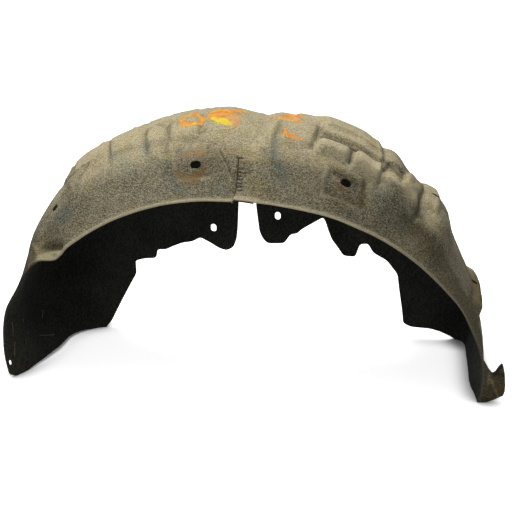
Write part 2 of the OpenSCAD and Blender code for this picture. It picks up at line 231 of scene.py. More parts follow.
@dataclass
class PressForm:
    """The form that the felt is pressed on, in millimetres and degrees.

    Angles are taken at the wheel centre from straight up. The legs beyond leg_a are arcs about
    centres on the floor, and y runs from the lip at 0 to the inboard wall.
    """

    # Main sizes, the same as the solid's
    arch_r: float = 395.0
    arch_drop: float = 83.0
    leg_a: float = 60.0
    liner_w: float = 205.0
    felt_t: float = 3.2
    band_rise: float = 84.0
    flange_w: float = 38.0
    shoulder_w: float = 40.0
    crown_h: float = 7.0
    crown_at: float = 0.55
    crown_fade: Span = (50.0, 20.0)
    left_tuck: float = 62.0
    right_tuck: float = 16.0
    foot_in: float = 15.0
    # Dart, whose right side laps over its left, and the curl of the lip
    dart_a: float = -1.3
    dart_l: float = 46.0
    dart_h: float = 3.0
    lap_a: float = 5.4
    seam_spread: float = 3.0
    curl_h: float = 1.5
    curl_w: float = 5.0
    curl_in: Span = (-43.0, 3.0)
    curl_out: Span = (50.0, 20.0)
    calm: float = 0.25
    calm_w: float = 12.0
    # Origin of the row's frame
    middle: tuple[float, float, float] = (11.816, 101.515, 0.0)
    # How the sheet changes along the arch, by angle
    lip_line: Keys = (
        (-90, -4), (-84, 2), (-74, 11), (-62, 22.8), (-56, 25), (-51, 28.5), (-48.1, 29.5),
        (-46.8, 27), (-44.4, 12.2), (-43.2, 10), (-40.5, 12.4), (-36.4, 12), (-28.7, 10.8),
        (-21.7, 8.6), (-15.1, 6.2), (-8.7, 3), (-2.8, -0.2), (4.4, -0.4), (9.3, -0.9), (14, 0.2),
        (18.9, 2.2), (25.6, 3.6), (32.7, 6), (40.5, 7.1), (48, 7.8), (54, 8.8), (60, 5), (66, 4),
        (74, 1.5), (84, -5), (90, -10.5))
    top_line: Keys = (
        (-90, -0.023), (-75, 0.1), (-64, 0.215), (-56, 0.325), (-51, 0.53), (-42, 0.74),
        (-37.5, 0.825), (-34.5, 0.94), (-30, 0.97), (-20, 0.97), (-5, 0.995), (2, 0.86),
        (5.5, 0.935), (8, 0.93), (12, 0.935), (21, 0.865), (24, 0.805), (28, 0.88), (32.5, 0.7),
        (36.5, 0.64), (39.6, 0.67), (42.4, 0.6), (46, 0.41), (52, 0.255), (56.5, 0.2), (60, 0.205),
        (63.6, 0.125), (73, 0.117), (90, -0.023))
    flange_line: Keys = ((-90, 0), (-70, 0.1), (-56, 0.6), (-44, 0.95), (-30, 1), (90, 1))
    shoulder_line: Keys = ((-90, 110), (-70, 96), (-56, 34), (-44, 4), (-30, 0), (90, 0))
    corner_line: Keys = ((-90, 72), (-70, 60), (-50, 30), (-35, 18), (60, 18), (90, 24))
    wall_line: Keys = ((-90, 150), (-60, 140), (-30, 136), (-20, 168), (14, 168), (28, 134), (90, 134))
    seam_line: Keys = ((0, -1.95), (4, -1.6), (9, -1.25), (20, -1.12), (38, -1.02), (60, -1.0))
    # What is pressed into it
    panels: tuple[Panel, ...] = (
        Panel(-37, -33.2, 112, 240, 4, 1.6, 16, -4),
        Panel(-33.4, -26.6, 80, 240, 4, 1.2, 14, -2.7),
        Panel(-25.4, -19.7, 72, 240, 4, 0.9, 12, -3),
        Panel(-18.4, -14.9, 66, 240, 3.5, 0.9, 13, -2),
        Panel(-13.7, -8.4, 60, 240, 3.5, 1.0, 13, -2),
        Panel(-7.8, 2, 74, 240, 3, 1.1, 14, 0),
        Panel(3, 4.9, 50, 130, 4.5, 0.9, 12, 1),
        Panel(6.6, 11.6, 62, 240, 3.5, 1.1, 14, 1.5),
        Panel(13.1, 18.6, 58, 84, 7.5, 0.8, 9, 0.5),
        Panel(19.8, 25.1, 54, 86, 9.5, 0.8, 9, 0.5),
        Panel(13, 25.2, 106, 240, 6.5, 1.0, 5.5, 0),
        Panel(13.6, 24.6, 134, 240, 4, 1.0, 7, 0),
        Panel(25.7, 29.8, 78, 116, -7.5, 0.7, 7, 2),
        Panel(25.7, 30.4, 56, 78, 2.5, 0.8, 8, 1),
        Panel(30.1, 34.0, 64, 140, 7.5, 1.3, 13, 2),
        Panel(35.4, 38.8, 84, 240, 4.8, 1.4, 16, 1),
        Panel(57.8, 60.8, 60, 220, 5.5, 2.0, 18, 0),
        Panel(-12.7, -6.3, 21, 47, -4, 1.1, 6.5, 0),
        Panel(15.9, 23.2, 20, 45, -4.5, 1.0, 6.5, 0))
    creases: tuple[Stroke, ...] = (
        Stroke(((-10.8, 57), (-8.9, 54.5), (-7.1, 54), (-5.4, 50)), 1.7, -1.3),
        Stroke(((-8.6, 51), (-7.4, 51), (-6.2, 49)), 1.4, -0.9),
        Stroke(((-4.5, 43), (-3.9, 38), (-3.4, 34), (-2.7, 28), (-2.3, 23)), 1.3, -1.6),
        Stroke(((-32.6, 62), (-31.3, 70), (-30.4, 78)), 2.6, -2.2),
        Stroke(((-27.2, 136), (-26.2, 104), (-25.8, 78), (-25.7, 56)), 2.0, -2.4),
        Stroke(((-19.1, 122), (-18.9, 88), (-18.4, 70), (-18.1, 54)), 2.6, -2.6),
        Stroke(((-15.1, 118), (-14.8, 106), (-14.4, 80), (-14.4, 60), (-14.7, 48)), 2.4, -2.6),
        Stroke(((-8.6, 106), (-8.5, 84), (-8.3, 64)), 2.2, -2.0),
        Stroke(((5.6, 112), (5.4, 70), (5.5, 50), (5.3, 36)), 2.8, -2.0),
        Stroke(((12.6, 122), (12.4, 88), (11.9, 62)), 2.6, -2.6),
        Stroke(((19.2, 90), (19.2, 60)), 2.0, -3.0),
        Stroke(((25.6, 116), (25.7, 82), (25.8, 60), (25.3, 46)), 2.6, -1.6),
        Stroke(((22.9, 50), (23.4, 42), (23.7, 30), (23.9, 20)), 1.9, -1.8),
        Stroke(((34.1, 88), (34.8, 76), (35.0, 58), (34.8, 44)), 2.8, -3.0),
        Stroke(((13.4, 98), (18.6, 97), (24.6, 96)), 4.5, -3.6))
    ridges: tuple[Stroke, ...] = (
        Stroke(((-36.6, 110), (-33.9, 86), (-32.3, 80), (-30.6, 84)), 2.6, 2.2),
        Stroke(((-26.4, 134), (-24.9, 112), (-23.7, 90)), 3.2, 1.6),
        Stroke(((-20.2, 150), (-20.0, 118), (-19.9, 94), (-20.8, 84), (-21.6, 78)), 2.8, 2.6),
        Stroke(((-13.0, 118), (-13.2, 106), (-13.6, 94), (-13.6, 70)), 2.8, 1.8),
        Stroke(((-6.8, 100), (-7.1, 90), (-7.4, 80), (-7.4, 70)), 3.0, 3.6),
        Stroke(((-12.4, 30), (-12.0, 42), (-11.2, 47), (-8.6, 48.5), (-7.2, 47.5)), 2.0, 2.0),
        Stroke(((4.0, 90), (4.4, 68), (4.5, 48)), 2.2, 1.4),
        Stroke(((8.8, 136), (9.9, 131), (11.1, 126), (12.2, 128)), 3.0, 1.6),
        Stroke(((14.3, 116), (17.2, 113), (19.8, 113), (22.7, 113), (24.4, 108)), 2.4, 1.8),
        Stroke(((11.6, 150), (14.3, 138), (17.2, 136), (21.0, 134)), 2.2, 1.4),
        Stroke(((15.9, 46), (15.4, 33), (15.9, 20)), 1.7, 1.2),
        Stroke(((26.1, 124), (27.8, 118), (29.8, 106)), 2.2, 2.2),
        Stroke(((34.9, 134), (37.3, 114), (39.9, 102), (42.4, 112)), 3.2, 1.6),
        Stroke(((34.9, 98), (36.4, 86), (38.6, 76), (41.4, 73), (45.4, 84)), 2.8, 2.2),
        Stroke(((-49.6, 58), (-48.0, 38), (-46.9, 18), (-46.6, 6)), 3.0, 2.0),
        Stroke(((-46.4, 5), (-44.8, 9), (-43.0, 5)), 3.6, 2.0),
        Stroke(((-45.0, 22), (-43.4, 17), (-41.6, 9)), 5.4, -6.5),
        Stroke(((-11.4, 64), (-8.6, 62)), 2.0, 0.8),
        Stroke(((-7.0, 60), (-4.4, 58)), 1.8, 0.8),
        Stroke(((13.9, 64), (18.0, 63)), 5.5, 3.0),
        Stroke(((20.6, 62), (24.4, 61)), 7.0, 4.5),
        Stroke(((26.4, 61), (29.2, 60)), 5.5, 2.5),
        Stroke(((30.9, 65), (33.0, 64)), 6.5, 4.0))
    fills: tuple[Stroke, ...] = (
        Stroke(((-37.0, 150), (-37.0, 215)), 6.0, 4.0),
        Stroke(((-29.1, 150), (-29.1, 215)), 4.0, 2.0),
        Stroke(((-21.8, 145), (-21.8, 215)), 8.5, 3.8),
        Stroke(((-16.5, 145), (-16.5, 215)), 5.5, 3.0),
        Stroke(((-9.2, 140), (-9.2, 215)), 9.5, 3.2),
        Stroke(((4.2, 160), (4.2, 215)), 14.0, 2.2),
        Stroke(((12.6, 155), (12.6, 215)), 6.0, 3.2))
    dimples: tuple[Stroke, ...] = (
        Stroke(((-16.9, 130), (-16.1, 120)), 5.0, -2.6),
        Stroke(((31.4, 76), (32.8, 92)), 7.0, 2.0))
    dart_marks: tuple[Stroke, ...] = (
        Stroke(((-1.02, 39), (-1.05, 28), (-1.12, 18), (-1.25, 9), (-1.6, 4), (-1.9, 1)), 0.85, -2.2),
        Stroke(((-1.5, 39.6), (-0.9, 39.8), (-0.3, 40)), 0.75, -1.5),
        Stroke(((-1.75, 24), (-1.65, 8)), 2.4, -0.7))
    stitch_from: float = -0.9
    stitch_w: float = 0.8
    stitch_deep: float = 1.2
    stitch_ends: Keys = (
        (29.6, -0.1), (26.2, 0.6), (22.8, -0.1), (19.4, -0.1), (16.0, -0.1), (12.6, -0.1), (9.2, -0.1))
    crumple: Crumple = field(default_factory=Crumple)

    def __post_init__(self) -> None:
        """Work out the legs, the start of the crown and the pressed lines."""
        tilt = math.radians(self.leg_a)
        self.leg_r = self.arch_r - self.arch_drop / math.cos(tilt)
        self.leg_cx = (self.arch_r - self.leg_r) * math.sin(tilt)
        self.crown_from = self.flange_w + self.shoulder_w * self.crown_at
        self.tuck_from = self.leg_a + 2.0
        self.stitches = tuple(
            Stroke(((self.stitch_from, y), (end, y + 0.5)), self.stitch_w, -self.stitch_deep)
            for y, end in self.stitch_ends)
        self.lines = (
            self.creases + self.ridges + self.fills + self.dimples + self.dart_marks + self.stitches)

    def tucked(self, angle: Array) -> Array:
        """How far down the right leg a place is, from 0 to 1 at the floor."""
        return ease((angle - self.tuck_from) / (90.0 - self.tuck_from))

    def wall_y(self, angle: Array) -> Array:
        """Where the inboard wall stands, further in towards the left foot."""
        return self.liner_w - self.foot_in * self.tucked(-angle)

    def corner_y(self, angle: Array) -> Array:
        """Where the top turns down into the wall."""
        return self.wall_y(angle) - along(self.corner_line, angle)

    def tuck(self, angle: Array) -> Array:
        """How far the feet of the legs tuck in."""
        return self.left_tuck * self.tucked(-angle) + self.right_tuck * self.tucked(angle)

    def top(self, angle: Array) -> Array:
        """Height of the top over the true arc."""
        return self.band_rise * along(self.top_line, angle) - self.tuck(angle)

    def flank(self, angle: Array, y: Array) -> Array:
        """Side of the band: straight, round, then level.

        Args:
            angle: Where on the arch.
            y: How far in from the lip.

        Returns:
            The height as a share of the band's rise.
        """
        start = self.flange_w * along(self.flange_line, angle)
        width = self.shoulder_w + along(self.shoulder_line, angle)
        turn = np.clip(y - start, 0.0, width)
        return (np.minimum(y, start + width) - turn**2 / (2 * width)) / (start + width / 2)

    def crown(self, angle: Array, y: Array) -> Array:
        """Crowning of the top between shoulder and corner.

        Args:
            angle: Where on the arch.
            y: How far in from the lip.

        Returns:
            The height that the crown adds.
        """
        share = np.clip((y - self.crown_from) / (self.corner_y(angle) - self.crown_from), 0, 1)
        return self.crown_h * (1 - eased(np.abs(angle), self.crown_fade)) * np.sin(np.pi * share)

    def relief(self, angle: Array, y: Array) -> Array:
        """Height of the panels, creases, ridges and dimples together."""
        raised = sum(p.height * p.share(angle, y) for p in self.panels)
        return raised + sum(line.rise(angle, y) for line in self.lines)

    def seam_shift(self, column: Array, y: Array) -> Array:
        """Lean of the dart's seam, in degrees, which spreads to the felt beside it."""
        near = np.clip(1 - np.abs(column - self.dart_a) / self.seam_spread, 0, 1)
        return (along(self.seam_line, y) - self.dart_a) * near

    def lap(self, angle: Array, y: Array) -> Array:
        """Lift of the felt on the right of the dart, which lies over its neighbour."""
        fade = np.clip(1 - y / self.dart_l, 0, 1) * (1 - ease((angle - self.dart_a) / self.lap_a))
        return np.where(angle < self.dart_a, 0.0, self.dart_h * fade)

    def lip_curl(self, angle: Array, y: Array) -> Array:
        """Small outward curl of the lip round the arch, which the ledge and the legs lack."""
        share = eased(angle, self.curl_in) * (1 - eased(angle, self.curl_out))
        return self.curl_h * share * np.clip(1 - y / self.curl_w, 0, 1) ** 2

    def smooth_band(self, angle: Array, y: Array) -> Array:
        """Height of the band over the true arc, without its relief and lap.

        Args:
            angle: Where on the arch.
            y: How far in from the lip.

        Returns:
            The height, crumpled as felt is, and calmer at the lip.
        """
        lip = along(self.lip_line, angle)
        smooth = lip + (self.top(angle) - lip) * self.flank(angle, y) + self.crown(angle, y)
        calm = ease(y / self.calm_w) * (1 - self.calm) + self.calm
        return smooth + self.crumple.rise(angle * RUN, y * SLANT) * calm + self.lip_curl(angle, y)

    def band(self, angle: Array, y: Array, column: Array | None = None) -> Array:
        """Height of the band over the true arc.

        Args:
            angle: Where on the arch.
            y: How far in from the lip.
            column: Angle before the seam's lean, where that differs.

        Returns:
            The height with relief and lap.
        """
        lap = self.lap(angle if column is None else column, y)
        return self.smooth_band(angle, y) + self.relief(angle, y) + lap

    def place(self, angle: Array, height: Array, y: Array) -> Array:
        """Place points of the sheet.

        Args:
            angle: Angle of each.
            height: Its height over the true arc.
            y: How far in from the lip it is.

        Returns:
            The points, in millimetres of the form.
        """
        turn = np.radians(angle)
        arch = np.abs(angle) <= self.leg_a
        radius = np.where(arch, self.arch_r, self.leg_r) + height
        shift = np.where(arch, 0.0, np.sign(angle) * self.leg_cx)
        drop = np.where(arch, self.arch_drop, 0.0)
        x = shift + radius * np.sin(turn)
        z = radius * np.cos(turn) - drop
        return np.stack(np.broadcast_arrays(x, y + 0.0 * x, z), -1)

    def unplace(self, points: Array) -> tuple[Array, Array]:
        """Find points on the arch or on a leg.

        Args:
            points: The points, in millimetres of the form.

        Returns:
            Their angles and their y.
        """
        on_arch = np.degrees(np.arctan2(points[:, 0], points[:, 2] + self.arch_drop))
        side = np.sign(points[:, 0])
        on_leg = side * np.degrees(np.arctan2(np.abs(points[:, 0]) - self.leg_cx, points[:, 2]))
        return np.where(np.abs(on_arch) <= self.leg_a, on_arch, on_leg), points[:, 1]

    def leg_height(self, points: Array) -> Array:
        """Height of points over the right leg's true arc."""
        return np.hypot(points[:, 0] - self.leg_cx, points[:, 2]) - self.leg_r

    def on_band(self, angle: Array, y: Array, sink: float = 0.0) -> Array:
        """Point on the band, sunk square to the sheet.

        Args:
            angle: Where on the arch.
            y: How far in from the lip.
            sink: How deep the point lies, in millimetres.

        Returns:
            The point, in millimetres of the form.
        """
        step = 0.05
        here = self.place(angle, self.band(angle, y), y)
        ahead = self.place(angle + step, self.band(angle + step, y), y) - here
        across = self.place(angle, self.band(angle, y + step), y + step) - here
        square = np.cross(ahead, across)
        square /= np.linalg.norm(square, axis=-1, keepdims=True)
        return here - sink * square

    def to_row(self, points: Array) -> Array:
        """Points in metres of the row's frame, from millimetres of the form."""
        return (points - np.array(self.middle)) * MM

    def from_row(self, points: Array) -> Array:
        """Points in millimetres of the form, from metres of the row's frame."""
        return points / MM + np.array(self.middle)


def select_only(piece: bpy.types.Object) -> None:
    """Select one object alone and make it active.

    Args:
        piece: The object.
    """
    bpy.ops.object.select_all(action="DESELECT")
    piece.select_set(True)
    bpy.context.view_layer.objects.active = piece


def settle(piece: bpy.types.Object, name: str) -> bpy.types.Object:
    """Put a piece's place into its mesh.

    Args:
        piece: The piece.
        name: Its new name.

    Returns:
        The piece, at the origin, unturned and unscaled.
    """
    select_only(piece)
    bpy.ops.object.transform_apply(location=True, rotation=True, scale=True)
    piece.name = piece.data.name = name
    return piece


def use_modifier(piece: bpy.types.Object, kind: str, **settings: object) -> None:
    """Add a modifier and apply it.

    Args:
        piece: The piece.
        kind: Type of the modifier.
        settings: What to set on it.
    """
    select_only(piece)
    mod = piece.modifiers.new(kind.lower(), kind)
    for key, value in settings.items():
        setattr(mod, key, value)
    bpy.ops.object.modifier_apply(modifier=mod.name)


def shade_smooth(piece: bpy.types.Object) -> None:
    """Shade a piece smooth up to its sharp edges."""
    select_only(piece)
    bpy.ops.object.shade_smooth_by_angle(angle=SOFT_FOLD)


def read_vertices(mesh: bpy.types.Mesh, what: str) -> Array:
    """Read three numbers of each vertex.

    Args:
        mesh: The mesh.
        what: Name of the property, such as co or normal.

    Returns:
        One row for each vertex.
    """
    flat = np.empty(len(mesh.vertices) * 3)
    mesh.vertices.foreach_get(what, flat)
    return flat.reshape(-1, 3)


def write_points(mesh: bpy.types.Mesh, points: Array) -> None:
    """Move a mesh's vertices to new places."""
    mesh.vertices.foreach_set("co", points.ravel())
    mesh.update()


def flat_blank(name: str, columns: int, rows: int) -> bpy.types.Object:
    """Make a flat sheet of felt before it is pressed.

    Args:
        name: Name of the piece.
        columns: Its faces along x.
        rows: Its faces along y.

    Returns:
        A grid with sides of one unit.
    """
    bpy.ops.object.select_all(action="DESELECT")
    bpy.ops.mesh.primitive_grid_add(x_subdivisions=columns, y_subdivisions=rows, size=1.0)
    piece = bpy.context.object
    piece.name = piece.data.name = name
    return piece


class Axis(Enum):
    """Direction that a prism runs in."""

    X = 0
    Y = 1


def rounded(
    corners: list[tuple[float, float]], radius: float, room: float = 0.45, steps: int = 5
) -> list[tuple[float, float]]:
    """Round the corners of an outline.

    Args:
        corners: The outline.
        radius: How far from its corners the rounding starts.
        room: The most that it takes of a side, as a share.
        steps: Places on each rounded corner.

    Returns:
        The rounded outline.
    """
    spots = np.array(corners, float)
    found: list[tuple[float, float]] = []
    for k, here in enumerate(spots):
        before, after = spots[k - 1] - here, spots[(k + 1) % len(spots)] - here
        length_b, length_a = float(np.linalg.norm(before)), float(np.linalg.norm(after))
        reach = min(radius, room * length_b, room * length_a)
        start, end = here + before / length_b * reach, here + after / length_a * reach
        for t in np.linspace(0, 1, steps):
            spot = start * (1 - t) ** 2 + here * 2 * t * (1 - t) + end * t * t
            found.append((float(spot[0]), float(spot[1])))
    return found


def outline_prism(
    form: PressForm, name: str, corners: list[tuple[float, float]], axis: Axis, start: float, end: float
) -> bpy.types.Object:
    """Prism over an outline.

    Args:
        form: The form, whose frame the outline is in.
        name: Name of the new object.
        corners: The outline in millimetres, in (x, z) for a prism along Y and (y, z) along X.
        axis: Direction that the prism runs in.
        start: Where it starts.
        end: Where it ends.

    Returns:
        The closed prism, in metres of the row's frame.
    """
    bpy.ops.object.select_all(action="DESELECT")
    bpy.ops.mesh.primitive_circle_add(vertices=len(corners), radius=1.0, fill_type="NOTHING")
    piece = bpy.context.object
    points = np.insert(np.array(corners, float), axis.value, start, axis=1)
    write_points(piece.data, form.to_row(points))
    move = [0.0, 0.0, 0.0]
    move[axis.value] = (end - start) * MM
    bpy.ops.object.mode_set(mode="EDIT")
    bpy.ops.mesh.select_all(action="SELECT")
    bpy.ops.mesh.edge_face_add()
    bpy.ops.mesh.extrude_region_move(TRANSFORM_OT_translate={"value": move})
    bpy.ops.mesh.select_all(action="SELECT")
    bpy.ops.mesh.normals_make_consistent(inside=False)
    bpy.ops.object.mode_set(mode="OBJECT")
    return settle(piece, name)


@dataclass
class Ear:
    """Flap that folds out from the lip at the right foot, in millimetres of the form."""

    form: PressForm
    finishes: tuple[bpy.types.Material, ...]
    outline: Keys = (
        (360.6, 0.0), (373, 0.6), (385.5, 4.0), (391.5, 7.5), (397.8, 10), (399.8, 18), (399.6, 30),
        (397.2, 49), (393.4, 63.5), (391, 65.8), (387, 61), (381.9, 52.3), (378.1, 50.7), (371.7, 59.4),
        (365.2, 70.5), (361.8, 74), (363.6, 60), (364.8, 45), (364.6, 31), (363, 15))
    columns: int = 30
    rows: int = 44
    # Corner of the blank in x and z, then its width and height
    blank: tuple[float, float, float, float] = (357.5, -3.0, 43.0, 80.0)
    thick: float = 2.6
    corner_r: float = 1.4
    stand: float = 0.6
    least_y: float = 0.15
    lean: float = 6.0
    lean_x: Span = (368.0, 34.0)
    fold_x: Span = (362.0, 6.0)
    crumple: float = 0.5
    crumple_x: Span = (364.0, 10.0)
    crumple_fine: float = 1.7
    cutter_y: tuple[float, float] = (-20.0, 40.0)
    # Where its points are looked for, from the leg's outer side
    inner_x: float = 18.0
    deepest_y: float = 12.0
    highest_z: float = 80.0
    clear: float = 1.6
    folds: tuple[Stroke, ...] = (
        flat_stroke(((376.5, 42), (383, 26), (389.9, 10)), 2.6, 1.8),
        flat_stroke(((371, 58), (373, 40), (371, 20), (368, 4)), 5.0, 1.2),
        flat_stroke(((387.5, 19.6), (392, 24), (396.5, 28.5)), 1.4, -1.6),
        flat_stroke(((379, 49), (386, 50), (395, 45)), 2.4, -1.2))
    brown: tuple[Stroke, ...] = (
        flat_stroke(((387.5, 19.6), (392, 24), (396.5, 28.5)), 3.0, 1.0),
        flat_stroke(((383, 34), (390, 40)), 5.0, 0.5),
        flat_stroke(((379, 46), (381, 38)), 3.0, 0.5))
    # Dark strokes: painted shade along the flap's folds, its notch and its base
    dark: tuple[Stroke, ...] = (
        flat_stroke(((379, 51), (384, 53), (391, 64)), 3.6, 1.0),
        flat_stroke(((383, 49), (390, 48), (396, 46)), 3.4, 0.8),
        flat_stroke(((368, 6), (380, 6), (388, 14)), 4.0, 0.35))
    # Pale strokes: painted highlights on the flap's raised folds
    pale: tuple[Stroke, ...] = (
        flat_stroke(((365.5, 60), (366, 40), (365, 22), (362.5, 2)), 1.5, 0.8),
        flat_stroke(((376.5, 42), (383, 26), (389.9, 10)), 1.5, 0.5),
        flat_stroke(((374, 50), (373, 34)), 3.0, 0.3))

    def build(self) -> bpy.types.Object:
        """Make the crumpled flap, cut to its outline.

        Returns:
            The closed flap.
        """
        x0, z0, width, height = self.blank
        piece = flat_blank("ear", self.columns, self.rows)
        flat = read_vertices(piece.data, "co")
        x, z = x0 + width * (flat[:, 0] + 0.5), z0 + height * (flat[:, 1] + 0.5)
        bulge = sum(fold.rise(x, z) for fold in self.folds) * eased(x, self.fold_x)
        y = self.stand + self.lean * eased(x, self.lean_x) - bulge
        uneven = self.form.crumple.rise(x * self.crumple_fine, z * self.crumple_fine)
        y += uneven * self.crumple * eased(x, self.crumple_x)
        write_points(piece.data, self.form.to_row(np.stack([x, np.maximum(y, self.least_y), z], 1)))
        use_modifier(
            piece, "SOLIDIFY", thickness=self.thick * MM, offset=-1.0, use_even_offset=False,
            use_quality_normals=True)
        outline = rounded(list(self.outline), self.corner_r)
        cutter = outline_prism(self.form, "ear_cutter", outline, Axis.Y, *self.cutter_y)
        use_modifier(piece, "BOOLEAN", operation="INTERSECT", solver="MANIFOLD", object=cutter)
        bpy.data.objects.remove(cutter)
        for finish in self.finishes:
            piece.data.materials.append(finish)
        return piece

    def holds(self, points: Array) -> Array:
        """Find the points that lie on the flap.

        Args:
            points: Points in millimetres of the form.

        Returns:
            Whether each lies on it.
        """
        f = self.form
        a, y = f.unplace(points)
        outside = points[:, 0] > f.leg_cx + f.leg_r - self.inner_x
        near = outside & (y < self.deepest_y) & (points[:, 2] < self.highest_z)
        return near & (f.leg_height(points) > along(f.lip_line, a) + self.clear)


@dataclass
class FeltShell:
    """The one pressed sheet: blank, pressing, thickness, ear, trimmed edges, slots and marks."""

    form: PressForm
    ear: Ear
    marks: "Marks"
    finishes: tuple[bpy.types.Material, ...]
    # Angle from which a point stands on the floor, and how low in the felt's thickness it then is
    foot_a: float = 89.99
    foot_low: float = 0.4
    # Mesh of the blank
    arch_step: float = 0.42
    leg_step: float = 0.85
    seam_gap: float = 0.05
    seam_clear: float = 0.3
    dart_span: tuple[float, float] = (-4.4, 2.0)
    dart_share: float = 0.46
    dart_cuts: int = 3
    band_rows: int = 84
    row_lead: float = 1.28
    corner_rows: int = 7
    wall_rows: int = 11
    # Folds of the wall, each by its x, half width and depth, how soon they start, and its sway
    fade_in: float = 6.0
    wall_folds: tuple[tuple[float, float, float], ...] = ((-88.0, 6.0, -4.0), (-74.0, 8.0, 1.2))
    fold_z: Span = (150.0, 20.0)
    sway: float = 0.6
    sway_in: float = 1.4
    sway_from: tuple[float, float] = (700.0, 300.0)
    # Felt pressed thin at the last slots, which take clips
    clip_slots: int = 2
    clip_thin: float = 0.75
    clip_area: float = 60.0
    clip_run: float = 4.2
    # Trimmed edges, by angle and depth under the arch
    gap_w: float = 28.0
    gap_x: float = -13.5
    gap_top: float = 50.0
    edge_r: float = 5.0
    edge_past: float = 3.0
    edge_reach: float = 60.0
    foot_corner_r: float = 9.0
    foot_rise: float = 7.0
    foot_half: float = 80.0
    foot_from: tuple[float, float] = (-12.0, -9.0)
    foot_to: tuple[float, float] = (215.0, -0.3)
    foot_x: tuple[float, float] = (-410.0, -197.5)
    corner_steps: int = 9
    bend_steps: int = 17
    left_edge: Keys = (
        (-110, 104), (-92.4, 110.7), (-87, 122), (-81.7, 127), (-62.9, 131.9), (-54.3, 129.3),
        (-48.6, 124.5), (-45, 107.5), (-42.1, 114.7), (-38.6, 126.5), (-36.2, 115.5), (-33.6, 123.5),
        (-31.2, 124), (-27.2, 125.8), (-23.4, 130.4), (-19.8, 127.5), (-16.6, 145.8), (-14.8, 154.1),
        (-12, 161), (-9, 157), (-7.3, 143.4), (-6.4, 125.7), (-5.2, 84))
    right_edge: Keys = (
        (0.1, 84), (0.8, 111.2), (1.3, 128.8), (2.6, 141.4), (4.5, 149.5), (8.6, 147), (10.9, 144),
        (12.3, 126.5), (14.5, 122), (15.5, 112.6), (17.1, 103.1), (20.4, 81), (21.5, 85), (23.6, 97.9),
        (25.9, 109.3), (29.3, 117.4), (32.4, 124.5), (35.9, 114.5), (34.4, 92), (36.2, 83), (39.3, 90.1),
        (41.7, 87.5), (44.2, 84.4), (49.6, 87.2), (54.9, 102.5), (62.6, 114.9), (76, 121), (80.5, 109),
        (83.1, 77.8), (85.3, 61.4), (88, 45.9), (91.2, 30.9), (93.9, 18.9), (110, 14))
    # Slots of the band by angle, y, length and width, and of the tabs by x and depth
    slots: tuple[tuple[float, float, float, float], ...] = (
        (-9.2, 34.3, 16, 11.5), (19.7, 39, 16, 11.5), (-40, 61, 13, 9), (38.1, 140, 13, 9),
        (57.6, 130, 13, 9), (-64.2, 10, 8, 5), (-84, 6, 8, 4))
    tab_slots: Keys = ((-70, 127), (36, 101))
    tab_slot_l: float = 14.0
    tab_slot_w: float = 9.5
    tab_slot_in: float = 2.5
    slot_depth: float = 16.0
    slot_sides: int = 32

    def stations(self) -> Array:
        """List the angles along the arch, coarser in the legs and split at the dart.

        Returns:
            The angles, in order.
        """
        f = self.form
        legs = np.arange(f.leg_a, 90.0, self.leg_step)
        left = np.arange(-f.leg_a, f.dart_a - self.seam_clear, self.arch_step)
        right = np.arange(f.dart_a + self.seam_clear, f.leg_a, self.arch_step)
        seam = [f.dart_a - self.seam_gap, f.dart_a + self.seam_gap]
        return np.unique(np.concatenate([-legs[1:], left, seam, right, legs, [90.0, -90.0]]))

    def split_dart(self, piece: bpy.types.Object, angles: Array, rows: int) -> None:
        """Divide the blank's faces round the dart, for its seam and stitches.

        Args:
            piece: The flat blank.
            angles: Angles of its columns.
            rows: How many rows it has.
        """
        ends = [self.form.dart_a + reach for reach in self.dart_span]
        span = np.interp(ends, angles, np.arange(len(angles)))
        left, right = span / (len(angles) - 1) - 0.5
        low = -0.5 + self.dart_share * self.band_rows / rows
        select_only(piece)
        bpy.ops.object.mode_set(mode="EDIT")
        bpy.ops.mesh.select_all(action="DESELECT")
        bpy.ops.object.mode_set(mode="OBJECT")
        for face in piece.data.polygons:
            face.select = left < face.center.x < right and face.center.y < low
        bpy.ops.object.mode_set(mode="EDIT")
        bpy.ops.mesh.select_mode(type="FACE")
        bpy.ops.mesh.subdivide(number_cuts=self.dart_cuts)
        bpy.ops.object.mode_set(mode="OBJECT")

    def press(self) -> bpy.types.Object:
        """Lay a blank of felt over the form.

        Returns:
            The pressed sheet, without thickness.
        """
        f = self.form
        angles = self.stations()
        rows = self.band_rows + self.corner_rows + self.wall_rows
        piece = flat_blank("felt_shell", len(angles) - 1, rows)
        self.split_dart(piece, angles, rows)
        flat = read_vertices(piece.data, "co")
        column = np.interp((flat[:, 0] + 0.5) * (len(angles) - 1), np.arange(len(angles)), angles)
        row = (flat[:, 1] + 0.5) * rows
        wall = f.wall_y(column)
        edge = f.corner_y(column)
        radius = wall - edge
        y_band = edge * np.clip(row / self.band_rows, 0, 1) ** self.row_lead
        a = column + f.seam_shift(column, y_band)
        swing = np.radians(90.0 * np.clip((row - self.band_rows) / self.corner_rows, 0, 1))
        drop = np.clip((row - self.band_rows - self.corner_rows) / self.wall_rows, 0, 1)
        height = f.band(a, y_band, column) - radius * (1 - np.cos(swing))
        height = height * (1 - drop) - along(f.wall_line, a) * drop
        y = y_band + radius * np.sin(swing)
        points = f.place(a, height, y)
        points[:, 1] += self.wall_wave(points, drop)
        at_floor = np.abs(a) > self.foot_a
        points[at_floor, 2] = 0.0
        write_points(piece.data, f.to_row(points))
        return piece

    def wall_wave(self, points: Array, drop: Array) -> Array:
        """Shallow folds of the inboard wall.

        Args:
            points: Points of the pressed sheet.
            drop: How far down the wall each is, from 0 to 1.

        Returns:
            How far each moves inwards from the wall's plane, as a negative number.
        """
        x, z = points[:, 0], points[:, 2]
        fold = sum(deep * np.exp(-(((x - at) / half) ** 2)) for at, half, deep in self.wall_folds)
        uneven = self.form.crumple.rise(x + self.sway_from[0], z + self.sway_from[1])
        sway = uneven * self.sway - self.sway_in
        return ease(drop * self.fade_in) * (fold * eased(z, self.fold_z) + sway)

